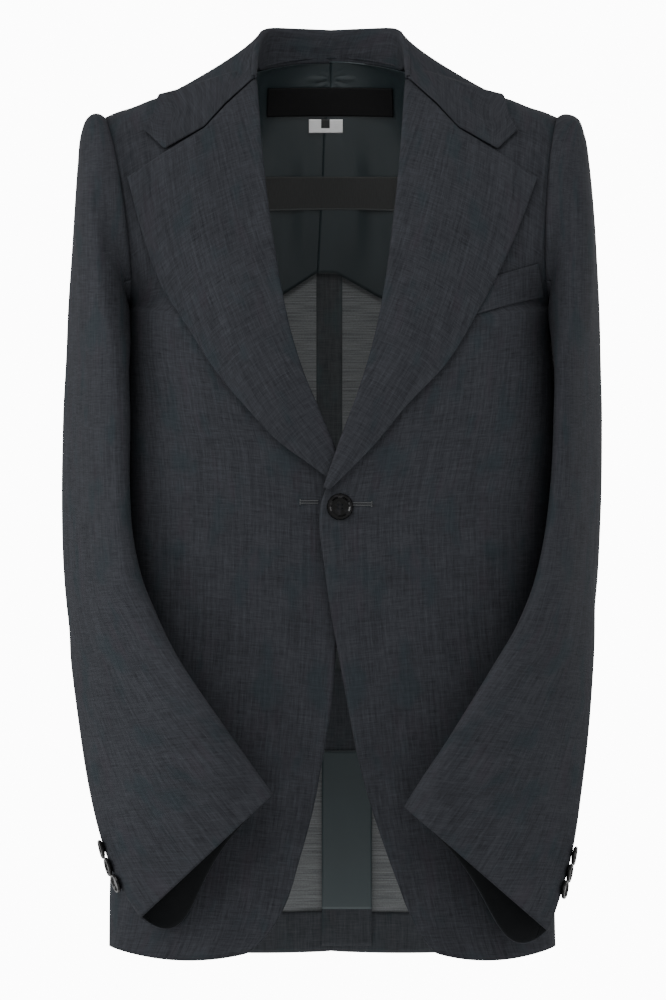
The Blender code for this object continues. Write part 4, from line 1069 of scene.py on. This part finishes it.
def thread(name, path, radius):
    """A thread laid along a path: path + radius (cos a across + sin a up), with a twist that swells it."""
    heading = np.gradient(path, axis=0)
    heading = heading / np.linalg.norm(heading, axis=1, keepdims=True)
    across = np.cross(heading, FORWARDS)
    across = across / np.maximum(np.linalg.norm(across, axis=1, keepdims=True), 1e-6)
    up = np.cross(across, heading)
    length = np.concatenate([[0], np.cumsum(np.linalg.norm(np.diff(path, axis=0), axis=1))])
    angle = np.linspace(0, 2 * np.pi, THREAD_SIDES, endpoint=False)[None, :, None]
    swell = radius * (1 + THREAD_SWELL * np.sin(2 * np.pi * length / THREAD_TWIST))[:, None, None]
    points = path[:, None] + swell * (np.cos(angle) * across[:, None] + np.sin(angle) * up[:, None])
    rings = len(path)
    index = np.arange(rings * THREAD_SIDES).reshape(rings, THREAD_SIDES)
    after = np.roll(index, -1, axis=1)
    faces = np.stack([index[:-1], after[:-1], after[1:], index[1:]], axis=-1).reshape(-1, 4)
    faces = faces.tolist() + [index[0, ::-1].tolist(), index[-1].tolist()]
    mesh = bpy.data.meshes.new(name)
    mesh.from_pydata((points.reshape(-1, 3) * MM).tolist(), [], faces)
    mesh.shade_smooth()
    mesh.materials.append(THREAD)
    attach(placed(name, mesh), "root")


def sunk_at_armhole(side, points):
    """A front's edge sunk along the armhole: a bell over the length of each row from its side."""
    length = np.cumsum(np.linalg.norm(np.diff(points, axis=1, prepend=points[:, :1]), axis=-1), axis=1)
    above = eased((points[:, :1, 2] - UNDERARM[side][1]) / SEAM_SINK_START)
    sink = SEAM_SINK * above * np.exp(-((length / SEAM_SINK_REACH) ** 2))
    return moved_out(points, -sink[..., None], FORWARDS)


def build_buttonholes():
    """Each front's buttonhole: two purled edges with a bar across the outer end."""
    for side, (start, end, z) in BUTTONHOLES.items():
        rails = [(start, z + HOLE_HALF, end, z + HOLE_HALF), (start, z - HOLE_HALF, end, z - HOLE_HALF),
                 (end, z - BAR_HALF, end, z + BAR_HALF)]
        for i, (x0, z0, x1, z1) in enumerate(rails):
            x, z_line = np.linspace(x0, x1, THREAD_RINGS), np.linspace(z0, z1, THREAD_RINGS)
            y = depth_at(side, FRONT, x, z_line) + WALL + HOLE_THREAD / 2
            path = np.stack([side * x, -y, z_line], axis=-1)
            thread(f"buttonhole_{SIDE_NAME[side]}_{i}", path, HOLE_THREAD)


def build_body():
    """The fronts and the backs, each a panel's grid with its folds."""
    up = 1 - (1 - evenly(FRONT_GRID[1])) ** ROWS_POWER
    for side, word in SIDE_NAME.items():
        points = panel_points(side, FRONT, evenly(FRONT_GRID[0]), up)
        at = (np.abs(points[..., 0]), points[..., 2])
        points = folded(points, at, FRONT_FOLDS[side], FORWARDS)
        points = sunk_at_armhole(side, points)
        shell(f"suit_front_{word}", f"front_{word}", points, FORWARDS, SUIT)
        points = panel_points(side, BACK, evenly(BACK_GRID[0]), up)
        at = (np.abs(points[..., 0]), points[..., 2])
        points = folded(points, at, BACK_FOLDS, BACKWARDS)
        shell(f"suit_back_{word}", f"back_{word}", points, BACKWARDS, SUIT_BACK)


def build_lapels():
    for side, word in SIDE_NAME.items():
        points = lapel_points(side, evenly(LAPEL_GRID[0]), evenly(LAPEL_GRID[1]))
        shell(f"suit_lapel_{word}", f"lapel_{word}", points, FORWARDS, SUIT)


def build_collar():
    stand, fall, along = COLLAR_GRID
    half = collar_points(evenly(stand), evenly(fall), evenly(along))
    points = np.concatenate([half, half[-2::-1] * np.array([-1, 1, 1])])
    shell("suit_collar", "collar", points, (0, 0, 1), SUIT)


def build_sleeves():
    """The sleeves in halves, with a roll round the head and the front lying in over the body below it."""
    cap = np.linspace(0, CAP_FINE, SLEEVE_ROWS_COUNT // 4)[:-1]
    along = np.concatenate([cap, np.linspace(CAP_FINE, 1, SLEEVE_ROWS_COUNT)])
    down = SLEEVE_LENGTH * along[:, None]
    gap = SLEEVE_SEAM_HALF_GAP
    halves = {
        "top": (SLEEVE_FRONT_SEAM + gap, SLEEVE_BACK_SEAM - gap),
        "under": (SLEEVE_BACK_SEAM + gap, SLEEVE_FRONT_SEAM + 360 - gap),
    }
    for side, word in SIDE_NAME.items():
        for half, (start, end) in halves.items():
            columns = SLEEVE_COLUMNS[half]
            angles = start + (end - start) * np.arange(-SPARE, columns + SPARE) / (columns - 1)
            points = sleeve_points(side, np.radians(angles), along)
            place = sleeve_map(side, points, along)
            towards = (side, -1, 0) if half == "top" else (-side, 1, 0)
            at = (angles[None, :] + 0 * down, down + 0 * angles[None, :])
            front, outer = np.cos(np.radians(angles))[None, :], np.sin(np.radians(angles))[None, :]
            roll = ROLL_HEIGHT * (1 - np.exp(-down / ROLL_START)) * np.exp(-((down / ROLL_REACH) ** 2))
            roll = roll * np.clip(ROLL_ALL + ROLL_FRONT * front + ROLL_OUTER * outer, 0, 1)
            points = moved_out(points, roll[..., None], towards)
            lobe = 2 * np.maximum(front, 0) * np.maximum(-outer, 0) * eased(down / LOBE_START)
            lobe = lobe * LOBE_IN * (1 - eased((down - LOBE_START) / LOBE_FADE))
            points = points - lobe[..., None] * np.array([side, 0, 0])
            points = folded(points, at, SLEEVE_FOLDS[side], towards)[:, SPARE:-SPARE]
            place = place[:, SPARE:-SPARE]
            shell(f"suit_sleeve_{word}_{half}", f"sleeve_{word}_{half}", points, towards, SUIT_SLEEVE,
                  place=place)


def build_welt():
    """The breast welt: its four corners blended, laid on the front."""
    u, v = evenly(WELT_GRID[0])[None, :], evenly(WELT_GRID[1])[:, None]
    blend = [(1 - u) * (1 - v), u * (1 - v), (1 - u) * v, u * v]
    x, z = (sum(weight * corner[i] for weight, corner in zip(blend, WELT_CORNERS)) for i in (0, 1))
    points = np.stack([x, -depth_at(LEFT, FRONT, x, z), z], axis=-1)
    points = moved_out(points, WALL + 2 * REST_GAP, FORWARDS)
    shell("suit_breast_welt", "breast_welt", points, FORWARDS, SUIT_THIN)


def build_inside():
    """The back's half lining, with a pleat at the middle, and its turned-up hem."""
    for side, word in SIDE_NAME.items():
        u = evenly(LINING_GRID[0])[None, :]
        v = np.sin(np.pi / 2 * evenly(LINING_GRID[1]))[:, None]
        x = LINING_HALF_WIDTH * u
        top = np.minimum(LINING_TOP_Z, top_line(BACK, x) - LINING_BELOW_SEAM)
        low = line_rows(LINING_EDGE, x)
        z = low + (top - low) * v
        if side == LEFT:
            x = x - line_rows(PLEAT_EDGE, z) * (1 - u) ** 3
            points = inside_back(x, z, LINING_OFFSET)
            points[..., 1] -= PLEAT_LIFT * eased((1 - u) * PLEAT_STEEP - PLEAT_START) + 0 * z
        else:
            points = inside_back(-(x + 0 * z), z, LINING_OFFSET)
        points = folded(points, (x + 0 * z, z), LINING_FOLDS, FORWARDS)
        shell(f"lining_back_{word}", f"back_lining_{word}", points, FORWARDS, BACK_LINING)
        across = np.linspace(HEM_SIDE, 1, HEM_GRID[0])
        low, high = panel_points(side, BACK, across, np.array([0.0, HEM_ROW]))
        share = np.linspace(HEM_FOOT, 1, HEM_GRID[1])[:, None] * HEM_TURN_UP / (high[:, 2] - low[:, 2])
        points = low + (high - low) * share[..., None] + HEM_OFFSET * FORWARDS
        shell(f"suit_hem_{word}", f"back_hem_{word}", points, FORWARDS, SUIT_HEM)


def build_trims():
    """The pieces laid inside the back: upright rectangles followed on to it. The band's lower edge arches."""
    for name, node, (left, right, top, bottom), (columns, rows), offset, look, held, rests_on in TRIMS:
        x, z = np.meshgrid(np.linspace(left, right, columns + 1), np.linspace(bottom, top, rows + 1))
        if node == "inner_band":
            z = z - BAND_ARCH * (x / right) ** 2 * (top - z) / (top - bottom)
        shell(name, node, inside_back(x, z, offset), FORWARDS, look)


def dress_buttons():
    for name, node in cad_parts.items():
        if "button" in name:
            node.data.materials.clear()
            node.data.materials.append(HORN)
            node.data.shade_smooth()


def build_stage():
    """A plain pale floor, flat and wide."""
    side = np.linspace(-FLOOR_REACH, FLOOR_REACH, FLOOR_LINES)
    x, y = np.meshgrid(side, side)
    points = np.stack([x, y, np.full_like(x, FLOOR_Z)], axis=-1).reshape(-1, 3)
    mesh = bpy.data.meshes.new("studio_floor")
    mesh.from_pydata(points.tolist(), [], grid_faces(FLOOR_LINES, FLOOR_LINES).tolist())
    mesh.materials.append(Shader("pale_floor").set(Base_Color=(0.9, 0.9, 0.9), Roughness=0.9))
    placed("studio_floor", mesh)


# Lamps. Columns: name, place in metres, size, power in watts
LAMPS = (
    ("key_left", (-2.6, -3.4, 1.8), 2.2, 82.0),
    ("fill_right", (2.8, -3.6, 1.2), 2.4, 42.0),
    ("edge_left", (-2.8, -0.4, 0.4), 1.6, 78.0),
    ("edge_right", (2.8, -0.4, 0.4), 1.6, 30.0),
    ("top", (0.0, -1.6, 3.2), 2.2, 40.0),
    ("front", (0.0, -3.2, 3.4), 1.2, 56.0),
    ("back", (0.8, 3.6, 1.0), 2.4, 60.0),
)
LAMP_TARGET = Vector((0.0, 0.0, -0.3))
WORLD_LIGHT = 0.7
BACKDROP_WHITE = 12.0


def build_lamps():
    for name, place, size, watts in LAMPS:
        lamp = bpy.data.lights.new(name, "AREA")
        lamp.energy = watts
        lamp.size = size
        made = placed(name, lamp)
        made.location = place
        made.rotation_euler = (LAMP_TARGET - Vector(place)).to_track_quat("-Z", "Y").to_euler()
    world = bpy.data.worlds.new("studio")
    world.use_nodes = True
    tree = world.node_tree
    backdrop = tree.nodes["Background"]
    backdrop.inputs["Color"].default_value = (1, 1, 1, 1)
    seen = tree.nodes.new("ShaderNodeLightPath")
    strength = tree.nodes.new("ShaderNodeMapRange")
    strength.inputs["To Min"].default_value = WORLD_LIGHT
    strength.inputs["To Max"].default_value = BACKDROP_WHITE
    tree.links.new(seen.outputs["Is Camera Ray"], strength.inputs["Value"])
    tree.links.new(strength.outputs["Result"], backdrop.inputs["Strength"])
    bpy.context.scene.world = world


def build_camera():
    camera = bpy.data.cameras.new("photo_camera")
    camera.sensor_width = SENSOR
    camera.lens = SENSOR * (PHOTO_PLANE_Y - CAMERA_Y) / PHOTO_HEIGHT
    camera.clip_end = CLIP_END
    made = placed("photo_camera", camera)
    made.location = (PHOTO_CENTRE[0] * MM, CAMERA_Y * MM, PHOTO_CENTRE[1] * MM)
    made.rotation_euler = (math.pi / 2, 0, 0)
    bpy.context.scene.camera = made


build_buttonholes()
build_body()
build_lapels()
build_collar()
build_sleeves()
build_welt()
build_inside()
build_trims()
dress_buttons()
build_stage()
build_lamps()
build_camera()
